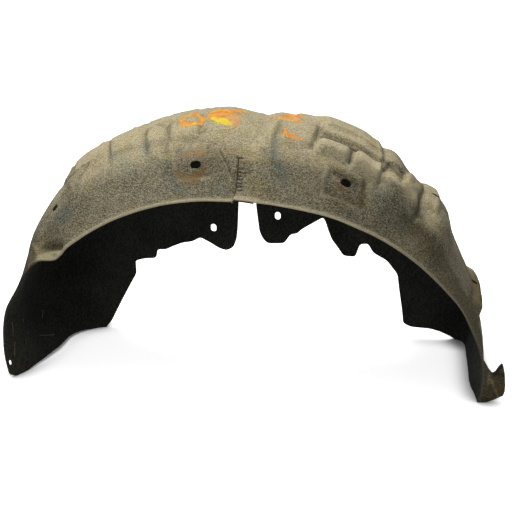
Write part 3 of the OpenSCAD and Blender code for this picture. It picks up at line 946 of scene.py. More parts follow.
    def thicken(self, piece: bpy.types.Object) -> None:
        """Give the sheet its thickness inwards, thin at the clip slots and with level feet.

        Args:
            piece: The pressed sheet.
        """
        for finish in self.finishes:
            piece.data.materials.append(finish)
        a, y = self.form.unplace(self.form.from_row(read_vertices(piece.data, "co")))
        full = np.ones(len(a))
        for slot_a, slot_y, _, _ in self.slots[-self.clip_slots:]:
            apart = ((a - slot_a) * self.clip_run) ** 2 + (y - slot_y) ** 2
            full -= self.clip_thin * np.exp(-apart / self.clip_area)
        group = piece.vertex_groups.new(name="full")
        for index, weight in enumerate(full):
            group.add([index], float(weight), "REPLACE")
        use_modifier(
            piece, "SOLIDIFY", thickness=self.form.felt_t * MM, offset=-1.0, use_even_offset=False,
            use_quality_normals=True, material_offset=Skin.BACK.value, material_offset_rim=Skin.CUT.value,
            vertex_group=group.name, thickness_vertex_group=0.0)
        piece.vertex_groups.clear()
        points = read_vertices(piece.data, "co")
        at_floor = points[:, 2] < self.foot_low * self.form.felt_t * MM
        points[at_floor, 2] = 0.0
        write_points(piece.data, points)

    def wall_spot(self, key: tuple[float, float]) -> tuple[float, float]:
        """Place on the inboard wall.

        Args:
            key: Its angle and its depth under the arch.

        Returns:
            Its x and z.
        """
        x, _, z = self.form.place(np.array(float(key[0])), np.array(-float(key[1])), np.array(0.0))
        return float(x), float(z)

    def edge_cutter(self) -> bpy.types.Object:
        """Make the prism that trims the free edge of the inboard wall.

        Returns:
            The closed prism.
        """
        f = self.form
        top = f.arch_r - f.arch_drop + self.gap_top
        gap = [(self.gap_x - self.gap_w / 2, top), (self.gap_x + self.gap_w / 2, top)]
        left = [self.wall_spot(key) for key in self.left_edge]
        right = [self.wall_spot(key) for key in self.right_edge]
        outline = rounded(left + gap + right, self.edge_r)
        far = f.liner_w + self.edge_past
        return outline_prism(f, "edge_cutter", outline, Axis.Y, far - self.edge_reach, far)

    def foot_cutter(self) -> bpy.types.Object:
        """Make the prism that gives the left foot its rounded corner and shallow arch.

        Returns:
            The closed prism.
        """
        c, half, rise = self.foot_corner_r, self.foot_half, self.foot_rise
        (y_from, z_from), (y_to, z_floor) = self.foot_from, self.foot_to
        turn = np.radians(np.linspace(0, 90, self.corner_steps))
        corner = [(c - c * math.cos(t), c - c * math.sin(t)) for t in turn]
        radius = (half**2 + rise**2) / (2 * rise)
        spread = math.asin(half / radius)
        bend = [
            (2 * c + half + radius * math.sin(t), rise - radius + radius * math.cos(t))
            for t in np.linspace(-spread, spread, self.bend_steps)]
        corners = [(y_from, z_from), (y_from, c + 2.0), (0.0, c + 2.0)] + corner[:-1]
        corners += [(c, z_floor), (2 * c, z_floor)] + bend[1:-1]
        corners += [(2 * c + 2 * half, z_floor), (y_to, z_from)]
        return outline_prism(self.form, "foot_cutter", corners, Axis.X, *self.foot_x)

    def slot_cutter(
        self, here: Vector, ahead: Vector, square: Vector, length: float, width: float
    ) -> bpy.types.Object:
        """Make an obround prism through the sheet.

        Args:
            here: Its middle, in millimetres of the form.
            ahead: Direction of its length.
            square: Direction through the sheet.
            length: Length of the slot.
            width: Width of the slot.

        Returns:
            The closed prism, in metres of the row's frame.
        """
        bpy.ops.object.select_all(action="DESELECT")
        bpy.ops.mesh.primitive_cylinder_add(
            vertices=self.slot_sides, radius=width / 2 * MM, depth=self.slot_depth * MM)
        piece = bpy.context.object
        points = read_vertices(piece.data, "co")
        points[:, 0] += np.sign(np.round(points[:, 0], 6)) * (length - width) / 2 * MM
        side = square.cross(ahead)
        turned = np.stack([np.array(ahead), np.array(side), np.array(square)], 0)
        write_points(piece.data, points @ turned + self.form.to_row(np.array(here)))
        return settle(piece, "slot_cutter")

    def slot_cutters(self) -> list[bpy.types.Object]:
        """Make the prisms that pierce the slots.

        Returns:
            One for each slot of the wall and the band.
        """
        f = self.form
        step_a, step_y = 0.8, 4.0
        found = [
            self.slot_cutter(
                Vector((x, f.liner_w - self.tab_slot_in, f.arch_r - f.arch_drop - depth)),
                Vector((0, 0, 1)), Vector((0, 1, 0)), self.tab_slot_l, self.tab_slot_w)
            for x, depth in self.tab_slots]
        for a, y, length, width in self.slots:
            here = f.on_band(np.array(a), np.array(float(y)))
            ahead = Vector(f.on_band(np.array(a + step_a), np.array(float(y))) - here).normalized()
            across = Vector(f.on_band(np.array(a), np.array(y + step_y)) - here)
            square = ahead.cross(across).normalized()
            found.append(self.slot_cutter(Vector(here), ahead, square, length, width))
        return found

    def trim(self, piece: bpy.types.Object) -> None:
        """Cut the free edge, the left foot and the slots.

        Args:
            piece: The sheet with its thickness.
        """
        for cutter in [self.edge_cutter(), self.foot_cutter(), *self.slot_cutters()]:
            cutter.data.materials.append(self.finishes[Skin.CUT.value])
            use_modifier(
                piece, "BOOLEAN", operation="DIFFERENCE", solver="MANIFOLD", object=cutter,
                material_mode="TRANSFER")
            bpy.data.objects.remove(cutter)

    def join_ear(self, piece: bpy.types.Object) -> None:
        """Weld the ear to the lip.

        Args:
            piece: The sheet with its thickness.
        """
        flap = self.ear.build()
        use_modifier(piece, "BOOLEAN", operation="UNION", solver="MANIFOLD", object=flap)
        bpy.data.objects.remove(flap)

    def build(self) -> bpy.types.Object:
        """Make the sheet with its marks.

        Returns:
            The finished piece.
        """
        piece = self.press()
        self.thicken(piece)
        self.join_ear(piece)
        self.trim(piece)
        shade_smooth(piece)
        self.marks.put_on(piece, self.form, self.ear)
        return settle(piece, "felt_shell")


@dataclass
class DartTongue:
    """Strip of the left side that reaches under the lap of the dart."""

    form: PressForm
    from_a: float = -2.1
    to_a: float = 2.6
    lip_in: float = 0.5
    depth: float = 16.0
    thick: float = 1.4
    below: float = 0.7
    past_cut: float = 0.01
    columns: int = 24
    rows: int = 8

    def build(self) -> bpy.types.Object:
        """Press the strip to the underside of the lap.

        Returns:
            The finished piece.
        """
        f = self.form
        piece = flat_blank("dart_tongue", self.columns, self.rows)
        flat = read_vertices(piece.data, "co")
        a = self.from_a + (self.to_a - self.from_a) * (flat[:, 0] + 0.5)
        y = self.lip_in + self.depth * (flat[:, 1] + 0.5)
        lift = f.lap(np.maximum(a, f.dart_a + self.past_cut), y)
        height = f.smooth_band(a, y) + f.relief(a, y) + lift - f.felt_t - self.below
        write_points(piece.data, f.to_row(f.place(a, height, y)))
        use_modifier(piece, "SOLIDIFY", thickness=self.thick * MM, offset=-1.0)
        shade_smooth(piece)
        # Dark brown finish: painted shade under the lap
        piece.data.materials.append(ShadedTongueFelt().make())
        return settle(piece, "dart_tongue")


@dataclass
class LooseFibres:
    """Pale fibres on the wheel side of the left leg, in millimetres and degrees of the form."""

    form: PressForm
    radius: float = 0.3
    sides: int = 6
    above: float = 0.1
    runs: tuple[Keys, ...] = (
        ((-74.4, 121), (-75.2, 114), (-76.0, 106)), ((-69.2, 26), (-71.9, 24), (-74.3, 20)),
        ((-71.6, 61), (-72.5, 57.5)), ((-79.6, 74), (-81.3, 88.5), (-82.9, 103)),
        ((-76.7, 21.5), (-79.7, 17.5), (-82.4, 14)))

    def strand(self, start: Vector, end: Vector) -> bpy.types.Object:
        """Make one straight length of fibre.

        Args:
            start: One end, in metres.
            end: The other end.

        Returns:
            The fibre.
        """
        run = end - start
        bpy.ops.object.select_all(action="DESELECT")
        bpy.ops.mesh.primitive_cylinder_add(
            vertices=self.sides, radius=self.radius * MM, depth=run.length, location=(start + end) / 2,
            rotation=run.to_track_quat("Z", "Y").to_euler())
        return settle(bpy.context.object, "strand")

    def build(self) -> bpy.types.Object:
        """Make all the fibres as one piece.

        Returns:
            The finished piece.
        """
        f = self.form
        strands = []
        for run in self.runs:
            a, y = np.array(run, float).T
            spots = [Vector(spot) for spot in f.to_row(f.on_band(a, y, f.felt_t + self.above))]
            strands += [self.strand(start, end) for start, end in zip(spots, spots[1:])]
        select_only(strands[0])
        for strand in strands[1:]:
            strand.select_set(True)
        bpy.ops.object.join()
        strands[0].data.materials.append(LintFelt().make())
        return settle(strands[0], "loose_fibres")


@dataclass(frozen=True)
class Marks:
    """Stains, worn felt, smears of paint, and painted highlight and shade, as attributes that the
    finishes read.
    """

    # Dust strokes: dust and painted highlight on plateau tops, ridges and the ledge's shelf
    dust_and_highlight: tuple[Stroke, ...] = (
        Stroke(((14.2, 64), (17.4, 64)), 12.0, 0.5),
        Stroke(((20.6, 66), (23.8, 62)), 13.0, 0.55),
        Stroke(((30.6, 68), (32.6, 70)), 9.0, 0.6),
        Stroke(((-46.2, 4), (-44.4, 7), (-42.4, 4)), 6.0, 0.95),
        Stroke(((-49.0, 56), (-47.6, 36), (-46.8, 16)), 4.0, 0.4),
        Stroke(((-31.6, 46), (-30.0, 58)), 14.0, 0.3),
        Stroke(((-36.2, 108), (-32.6, 82)), 6.0, 0.4),
        Stroke(((-21.4, 82), (-20.2, 100)), 5.0, 0.5),
        Stroke(((-26.4, 132), (-23.8, 92)), 6.0, 0.4),
        Stroke(((26.2, 64), (29.6, 62)), 6.0, 0.4),
        Stroke(((4.2, 88), (4.5, 50)), 3.0, 0.35),
        Stroke(((-11.8, 46), (-7.4, 47)), 2.6, 0.5))
    cool: tuple[Stroke, ...] = (
        Stroke(((-14.4, 36), (-13.0, 12)), 12.0, 0.8),
        Stroke(((-39.6, 42), (-37.0, 36)), 14.0, 0.8),
        Stroke(((5.4, 72), (5.6, 40), (7.8, 28)), 9.0, 0.9),
        Stroke(((17.8, 74), (18.8, 56)), 5.0, 0.9),
        Stroke(((-24.4, 72), (-22.4, 46)), 12.0, 0.5),
        Stroke(((-18.4, 70), (-17.6, 46)), 12.0, 0.5),
        Stroke(((18.0, 16), (24.0, 14)), 12.0, 0.4),
        Stroke(((25.6, 52), (27.8, 30)), 12.0, 0.6),
        Stroke(((34.4, 60), (33.4, 30)), 12.0, 0.6),
        Stroke(((-4.8, 24), (-3.8, 8)), 10.0, 0.4))
    brown: tuple[Stroke, ...] = (
        Stroke(((-13.0, 27), (-11.4, 21.5), (-9.4, 22)), 9.5, 0.85),
        Stroke(((-9.2, 22), (-7.8, 28), (-7.2, 34)), 6.0, 0.7),
        Stroke(((-11.0, 40), (-7.8, 41)), 4.0, 0.4),
        Stroke(((17.9, 34), (19.0, 31.5), (20.0, 32)), 3.4, 0.9),
        Stroke(((-39.0, 52), (-38.4, 44)), 5.0, 0.3),
        Stroke(((53.0, 126), (56.4, 118)), 8.0, 0.9),
        Stroke(((38.6, 60), (46.0, 66)), 9.0, 0.45),
        Stroke(((46.0, 88), (50.0, 98), (55.0, 106)), 12.0, 0.45),
        Stroke(((57.4, 90), (58.4, 130)), 6.0, 0.5),
        Stroke(((10.0, 10), (13.0, 22)), 12.0, 0.3),
        Stroke(((6.2, 92), (6.4, 80)), 2.4, 0.9))
    # Grime strokes: grime and painted shade in creases, recesses, seats, the valley below the terrace and
    # the hollow behind the ledge
    grime_and_shade: tuple[Stroke, ...] = (
        Stroke(((-45.0, 21), (-43.4, 17), (-41.8, 10)), 5.0, 1.0),
        Stroke(((-50.0, 44), (-46.4, 60)), 16.0, 0.25),
        Stroke(((16.2, 24), (19.4, 20), (22.8, 24)), 9.0, 0.35),
        Stroke(((22.9, 48), (23.9, 24)), 3.0, 1.0),
        Stroke(((17.0, 44), (21.6, 42)), 3.4, 0.5),
        Stroke(((-8.6, 32), (-7.2, 24)), 5.0, 0.3),
        Stroke(((33.4, 40), (37.4, 38), (41.6, 28)), 16.0, 0.35),
        Stroke(((34.4, 84), (35.2, 54)), 4.0, 0.75),
        Stroke(((33.6, 57), (35.8, 56)), 5.0, 0.6),
        Stroke(((12.7, 126), (13.2, 110)), 6.0, 0.5),
        Stroke(((57.4, 60), (58.6, 110), (59.4, 170)), 16.0, 1.0),
        Stroke(((25.8, 112), (29.2, 104)), 8.0, 0.6),
        Stroke(((26.2, 80), (29.2, 80)), 3.0, 0.6),
        Stroke(((19.2, 90), (19.2, 60)), 2.6, 0.7),
        Stroke(((25.6, 100), (25.7, 60), (25.3, 46)), 4.0, 0.3),
        Stroke(((-16.9, 130), (-16.1, 120)), 4.5, 0.6),
        Stroke(((14.0, 98), (24.0, 97)), 5.0, 0.85),
        Stroke(((-1.75, 24), (-1.65, 8)), 3.2, 0.35),
        Stroke(((-18.9, 84), (-18.4, 62)), 4.0, 0.4),
        Stroke(((-8.3, 90), (-8.2, 66)), 2.6, 0.5))
    # Pale strokes: painted highlights on ridges, plateau tops, seat edges and the ledge's shelf, and the
    # pale lap strip at the dart
    pale: tuple[Stroke, ...] = (
        Stroke(((-11.3, 46.6), (-9.1, 47.4), (-7.0, 45.6)), 2.0, 1.0),
        Stroke(((15.5, 43), (15.5, 32), (15.9, 18)), 2.4, 0.6),
        Stroke(((-13.1, 45), (-13.3, 34), (-13.2, 26)), 2.2, 0.4),
        Stroke(((-46.6, 3), (-44.6, 6), (-42.8, 3)), 5.0, 0.6),
        Stroke(((13.4, 79), (16.0, 78), (18.2, 74)), 5.5, 0.5),
        Stroke(((20.0, 80), (22.6, 78), (24.8, 72)), 6.5, 0.6),
        Stroke(((24.2, 82), (24.4, 58)), 5.0, 0.5),
        Stroke(((21.0, 63), (22.6, 60), (24.0, 62)), 9.0, 0.9),
        Stroke(((21.0, 74), (24.4, 72)), 6.0, 0.5),
        Stroke(((14.0, 70), (18.0, 66)), 8.0, 0.35),
        Stroke(((47.1, 92), (50.8, 105), (54.3, 110)), 8.0, 0.3),
        Stroke(((14.3, 116), (19.8, 113), (24.4, 108)), 3.4, 0.85),
        Stroke(((11.8, 148), (14.3, 138), (21.0, 134)), 3.0, 0.4),
        Stroke(((26.1, 124), (27.8, 118), (29.8, 106)), 3.0, 0.5),
        Stroke(((26.2, 66), (29.6, 62)), 5.0, 0.5),
        Stroke(((31.1, 66), (33.0, 65)), 7.0, 1.0),
        Stroke(((30.8, 76), (32.4, 80)), 6.0, 0.4),
        Stroke(((-1.5, 3.0), (3.4, 2.6)), 3.2, 0.8),
        Stroke(((-12.8, 66), (-12.2, 84)), 3.0, 0.35),
        Stroke(((4.0, 88), (4.4, 66), (4.5, 50)), 2.6, 0.5),
        Stroke(((2.2, 98), (3.8, 98)), 4.0, 0.5),
        Stroke(((40.5, 104), (47.0, 112)), 10.0, 0.4))
    # Grime and painted shade of the sides and legs, by angle
    grime_and_shade_line: Keys = (
        (-90, 0.95), (-60, 0.95), (-50, 0.85), (-45, 0.64), (-40, 0.36), (-35, 0.12), (-25, 0.04),
        (-12, 0.12), (0, 0.16), (15, 0.24), (25, 0.42), (36, 0.5), (48, 0.7), (56, 0.95), (90, 1.0))
    # Darker on the legs, by angle
    leg_dark_line: Keys = ((-90, 0.9), (-56, 0.8), (-52, 0.6), (-49, 0.0), (56, 0.0), (66, 0.35), (90, 0.4))
    rim_line: Keys = (
        (-90, 0.0), (-49, 0.0), (-46.5, 0.5), (-40, 0.8), (-20, 0.9), (0, 1.0), (20, 0.85), (40, 0.5),
        (56, 0.22), (66, 0.12), (90, 0.1))
    paint: tuple[Stroke, ...] = (
        Stroke(((-12.2, 120), (-11.6, 100), (-10.1, 91), (-8.8, 96), (-8.2, 110)), 4.2, 1, 2.6),
        Stroke(((-8.6, 120), (-9.8, 132), (-11.2, 137), (-12.1, 130), (-12.2, 118)), 2.8, 1, 3.0),
        Stroke(((-8.2, 112), (-7.4, 118), (-6.4, 120)), 3.0, 1, 3.4),
        Stroke(((-6.6, 116), (-5.2, 102), (-3.0, 98)), 7.2, 1, 2.6),
        Stroke(((-6.6, 136), (-5.5, 142), (-4.0, 130)), 6.4, 1, 3.2),
        Stroke(((-5.4, 160), (-5.2, 140)), 3.0, 1, 3.0),
        Stroke(((-4.0, 140), (-3.0, 151), (-1.8, 162)), 4.4, 1, 3.4),
        Stroke(((-3.0, 122), (-2.1, 112), (-2.4, 96)), 5.4, 1, 2.8),
        Stroke(((2.2, 176), (3.2, 168), (4.4, 158)), 2.2, 1, 4.0),
        Stroke(((6.2, 168), (7.2, 180), (8.4, 164)), 5.0, 1, 4.2),
        Stroke(((5.2, 146), (7.2, 140), (8.6, 132)), 4.6, 1, 3.2),
        Stroke(((6.6, 94), (6.7, 82), (7.2, 76)), 2.4, 1, 2.6),
        Stroke(((7.2, 76), (8.0, 74), (8.9, 72)), 3.4, 1, 2.2),
        Stroke(((8.9, 72), (10.2, 71.5)), 2.0, 1, 2.0),
        Stroke(((-11.2, 43.4), (-9.6, 44.8), (-7.2, 44.0)), 1.5, 1, 1.2))
    core: tuple[Stroke, ...] = (
        Stroke(((-6.4, 108), (-5.5, 96)), 5.0, 1, 2.4),
        Stroke(((-5.6, 93), (-3.2, 90)), 4.8, 1, 2.4),
        Stroke(((-5.0, 103), (-3.9, 99)), 4.4, 1, 2.4),
        Stroke(((-9.8, 92), (-9.2, 92)), 1.6, 1, 2.4))
    thin: tuple[Stroke, ...] = (
        Stroke(((-3.0, 120), (-2.0, 110), (-2.3, 94)), 5.0, 0.9, 2.8),
        Stroke(((2.2, 176), (4.4, 160)), 3.0, 0.9, 3.0),
        Stroke(((5.0, 150), (6.0, 138), (8.6, 132)), 4.4, 0.7, 3.0),
        Stroke(((8.9, 72), (10.2, 71.5)), 4.0, 0.7, 1.6),
        Stroke(((-10.6, 116), (-9.6, 112)), 3.2, 1.0, 2.6),
        Stroke(((-11.4, 44.4), (-7.0, 44.4)), 6.0, 1.0))
    # Where grime and painted shade thin, and where the lip's worn band ends
    clean_y: Span = (36.0, 24.0)
    clean_a: Span = (-51.0, 7.0)
    clean: float = 0.85
    rim_y: Span = (0.0, 5.0)
    # Darkening of the legs, and painted shade in the creases and the dart's fold
    leg_dark_y: float = 40.0
    crease_full: float = 2.6
    crease_shade: float = 0.4
    fold_shade: float = 0.35
    fold_w: float = 0.8
    # Dust and wear, with painted highlight where the felt faces up, on raised relief and on the shoulder,
    # and painted shade on sunk relief
    highlight_facing_up: float = 0.82
    facing_up: Span = (0.4, 0.5)
    relief_counts: tuple[float, float] = (-4, 8)
    highlight_on_relief: float = 0.035
    shoulder_dust_and_highlight: float = 0.42
    shoulder_in: Span = (34.0, 8.0)
    shoulder_out: Span = (60.0, 30.0)
    shoulder_a: Span = (20.0, 12.0)
    damped: float = 0.55

    def sides(self, a: Array, y: Array) -> Array:
        """Grime and painted shade of the legs and the sides, thinner past the flange."""
        clean = self.clean * eased(y, self.clean_y) * eased(a, self.clean_a)
        return along(self.grime_and_shade_line, a) * (1 - clean)

    def seams_and_shade_marks(self, form: PressForm, a: Array, y: Array) -> Array:
        """Dark seam lines of the dart and its stitches, painted shade in its fold and the creases, and
        darkening near the feet.

        Args:
            form: The form that the felt was pressed on.
            a: Angles of the places.
            y: Their y.

        Returns:
            How dark each is, from 0 to 1.
        """
        seams = tuple(replace(line, height=1.0) for line in form.dart_marks[:2] + form.stitches)
        # Painted shade in the creases and, below, in the dart's fold
        creases = tuple(replace(line, height=-line.height / self.crease_full) for line in form.creases)
        fold = replace(form.creases[2], half_width=self.fold_w, height=1.0)
        cuts = soft_marks(seams, a, y) + self.crease_shade * soft_marks(creases, a, y)
        cuts += self.fold_shade * soft_marks((fold,), a, y)
        # Darker on the left leg, and near the lip on the right leg
        near_black = along(self.leg_dark_line, a) * ((a < 0).astype(float) + (y < self.leg_dark_y))
        return np.clip(np.maximum(cuts, near_black), 0, 1)

    def dust_wear_and_highlight(self, form: PressForm, a: Array, y: Array, upward: Array) -> Array:
        """Dust and rubbed fibres, and painted highlight where the felt faces up or is raised, which make
        the felt pale.

        Args:
            form: The form that the felt was pressed on.
            a: Angles of the places.
            y: Their y.
            upward: How far each faces up.

        Returns:
            How pale each is, before its grime and painted shade.
        """
        shoulder = eased(y, self.shoulder_in) * (1 - eased(y, self.shoulder_out))
        shoulder *= 1 - eased(np.abs(a), self.shoulder_a)
        # Shoulder and up-facing felt made pale: dust and painted highlight
        pale = self.shoulder_dust_and_highlight * shoulder + eased(upward, self.facing_up) * self.highlight_facing_up
        # Raised relief paler and sunk relief darker: painted highlight and shade
        raised = np.clip(form.relief(a, y), *self.relief_counts)
        return pale + raised * self.highlight_on_relief + soft_marks(self.dust_and_highlight, a, y)

    def put_on(self, piece: bpy.types.Object, form: PressForm, ear: Ear) -> None:
        """Store the marks on a pressed piece.

        Args:
            piece: The finished sheet.
            form: The form it was pressed on.
            ear: The flap welded to it.
        """
        mesh = piece.data
        points = form.from_row(read_vertices(mesh, "co"))
        a, y = form.unplace(points)
        upward = read_vertices(mesh, "normal")[:, 2]
        on_ear, x, z = ear.holds(points), points[:, 0], points[:, 2]
        sides = self.sides(a, y)
        # Pale band at the lip, and painted highlights from the pale strokes
        lip = along(self.rim_line, a) * (1 - eased(y, self.rim_y)) + soft_marks(self.pale, a, y)
        values = {
            # Dust with painted highlight, less on the grimy and shaded sides
            "dust_and_highlight": np.clip(self.dust_wear_and_highlight(form, a, y, upward) - self.damped * sides, 0, 1),
            "cool": soft_marks(self.cool, a, y),
            "brown": np.where(on_ear, soft_marks(ear.brown, x, z), soft_marks(self.brown, a, y)),
            # Grime with painted shade on the sides and legs and in creases and recesses
            "grime_and_shade": np.clip(sides + soft_marks(self.grime_and_shade, a, y), 0, 1),
            # Pale lip band and painted highlights, on the flap too
            "lip": np.where(on_ear, soft_marks(ear.pale, x, z), np.clip(lip, 0, 1)),
            "rim": along(self.rim_line, a),
            # Dark seams and stitches, painted shade in creases and folds, and darker legs
            "seams_and_shade": np.where(on_ear, soft_marks(ear.dark, x, z), self.seams_and_shade_marks(form, a, y)),
            "paint": crisp_marks(self.paint, a, y),
            "core": crisp_marks(self.core, a, y),
            "thin": soft_marks(self.thin, a, y),
        }
        for name, value in values.items():
            layer = mesh.attributes.new(name, "FLOAT", "POINT")
            layer.data.foreach_set("value", np.asarray(value, float))


@dataclass(frozen=True)
class Cells:
    """Noise of the felt: cells in a metre along x, finer layers, their weight and distortion.

    The lay says how much finer the cells are along y and z than along x.
    """

    per_metre: float
    detail: float = 2.0
    rough: float = 0.5
    warp: float = 0.0
    lay: float = 1.0


class Link:
    """Socket of a node tree that takes part in sums."""

    def __init__(self, tree: "Tree", socket: bpy.types.NodeSocket) -> None:
        """Wrap a socket of a tree."""
        self.tree, self.socket = tree, socket

    def _with(self, operation: str, *others: object) -> "Link":
        """One Math node over values."""
        return self.tree.node("ShaderNodeMath", {"operation": operation}, dict(enumerate(others)))[0]

    def __add__(self, other: object) -> "Link":
        """Sum of two values."""
        return self._with("ADD", self, other)

    def __mul__(self, other: object) -> "Link":
        """Product of two values."""
        return self._with("MULTIPLY", self, other)

    def __sub__(self, other: object) -> "Link":
        """Difference of two values."""
        return self._with("SUBTRACT", self, other)

    def __rsub__(self, other: object) -> "Link":
        """Difference of a number and this value."""
        return self._with("SUBTRACT", other, self)

    __radd__ = __add__
    __rmul__ = __mul__

    def swing(self, amount: float) -> "Link":
        """Noise as a swing about zero, times an amount."""
        return (self - 0.5) * amount

    def graded(self, gain: float, base: float) -> "Link":
        """This value times a gain, on a base."""
        return self * gain + base

    def ramp(self, low: float, high: float) -> "Link":
        """Smooth step of this value from low to high."""
        settings = {"interpolation_type": "SMOOTHSTEP"}
        return self.tree.node("ShaderNodeMapRange", settings, {0: self, 1: low, 2: high})[0]


def weighed(values: tuple[Link, ...], weights: tuple[float, ...]) -> Link:
    """Sum of values, each times its weight."""
    first, *others = (value * weight for value, weight in zip(values, weights))
    return sum(others, first)


class Tree:
    """Node tree of one finish, or of the world."""

    def __init__(self, owner: bpy.types.Material | bpy.types.World) -> None:
        """Start with an empty tree.

        Args:
            owner: The material or world that the tree belongs to.
        """
        owner.use_nodes = True
        self.owner = owner
        self.nodes, self.links = owner.node_tree.nodes, owner.node_tree.links
        self.nodes.clear()

    def place(self) -> "Link":
        """The object's own coordinates."""
        return self.node("ShaderNodeTexCoord")["Object"]

    def node(self, kind: str, settings: dict | None = None, values: dict | None = None) -> "Outputs":
        """Add a node.

        Args:
            kind: Its type.
            settings: Properties to set first.
            values: Numbers, colours or links for its inputs, by name or number.

        Returns:
            Its outputs.
        """
        made = self.nodes.new(kind)
        for key, value in (settings or {}).items():
            setattr(made, key, value)
        for key, value in (values or {}).items():
            if isinstance(value, Link):
                self.links.new(value.socket, made.inputs[key])
            else:
                made.inputs[key].default_value = value
        return Outputs(self, made)

    def noise(self, cells: Cells) -> Link:
        """Noise over the object's own place.

        Args:
            cells: What it is like.

        Returns:
            The noise, round 0.5.
        """
        lay = {0: self.place(), 1: (1, cells.lay, cells.lay)}
        spot = self.node("ShaderNodeVectorMath", {"operation": "MULTIPLY"}, lay)[0]
        values = {
            "Vector": spot, "Scale": cells.per_metre, "Detail": cells.detail, "Roughness": cells.rough,
            "Distortion": cells.warp}
        return self.node("ShaderNodeTexNoise", {}, values)["Fac"]

    def depth(self) -> Link:
        """Place across the liner, in metres."""
        return self.node("ShaderNodeSeparateXYZ", {}, {0: self.place()})["Y"]

    def rays_to_white(self) -> Link:
        """1 for the rays of the camera, gloss and glass, and 0 for the rest."""
        path = self.node("ShaderNodeLightPath")
        return path["Is Camera Ray"] + path["Is Glossy Ray"] + path["Is Transmission Ray"]

    def mark(self, name: str) -> Link:
        """Value that the mesh carries at each vertex."""
        return self.node("ShaderNodeAttribute", {"attribute_name": name})["Fac"]

    def blend(self, share: object, first: object, second: object, way: str = "MIX") -> Link:
        """Mix of two colours, plain or multiplied."""
        settings = {"data_type": "RGBA", "blend_type": way}
        return self.node("ShaderNodeMix", settings, {0: share, 6: first, 7: second})[2]

    def bump(self, height: Link, strength: float, depth: float) -> Link:
        """Bump of so many metres."""
        values = {"Height": height, "Strength": strength, "Distance": depth}
        return self.node("ShaderNodeBump", {}, values)["Normal"]

    def finish(
        self, colour: object, normal: Link | None = None, rough: float = 0.95, specular: float = 0.12
    ) -> bpy.types.Material:
        """Close the tree with a principled surface.

        Args:
            colour: Its colour.
            normal: Its bump.
            rough: Its roughness.
            specular: Its specular level.

        Returns:
            The material.
        """
        values = {"Base Color": colour, "Roughness": rough, "Specular IOR Level": specular}
        if normal is not None:
            values["Normal"] = normal
        surface = self.node("ShaderNodeBsdfPrincipled", {}, values)["BSDF"]
        self.node("ShaderNodeOutputMaterial", {}, {"Surface": surface})
        return self.owner


def new_tree(name: str) -> Tree:
    """Empty tree of a new material."""
    return Tree(bpy.data.materials.new(name))


class Outputs:
    """Outputs of a node, taken by name or number."""

    def __init__(self, tree: Tree, made: bpy.types.Node) -> None:
        """Keep a node's outputs."""
        self.tree, self.made = tree, made

    def __getitem__(self, key: object) -> Link:
        """One output as a link."""
        return Link(self.tree, self.made.outputs[key])


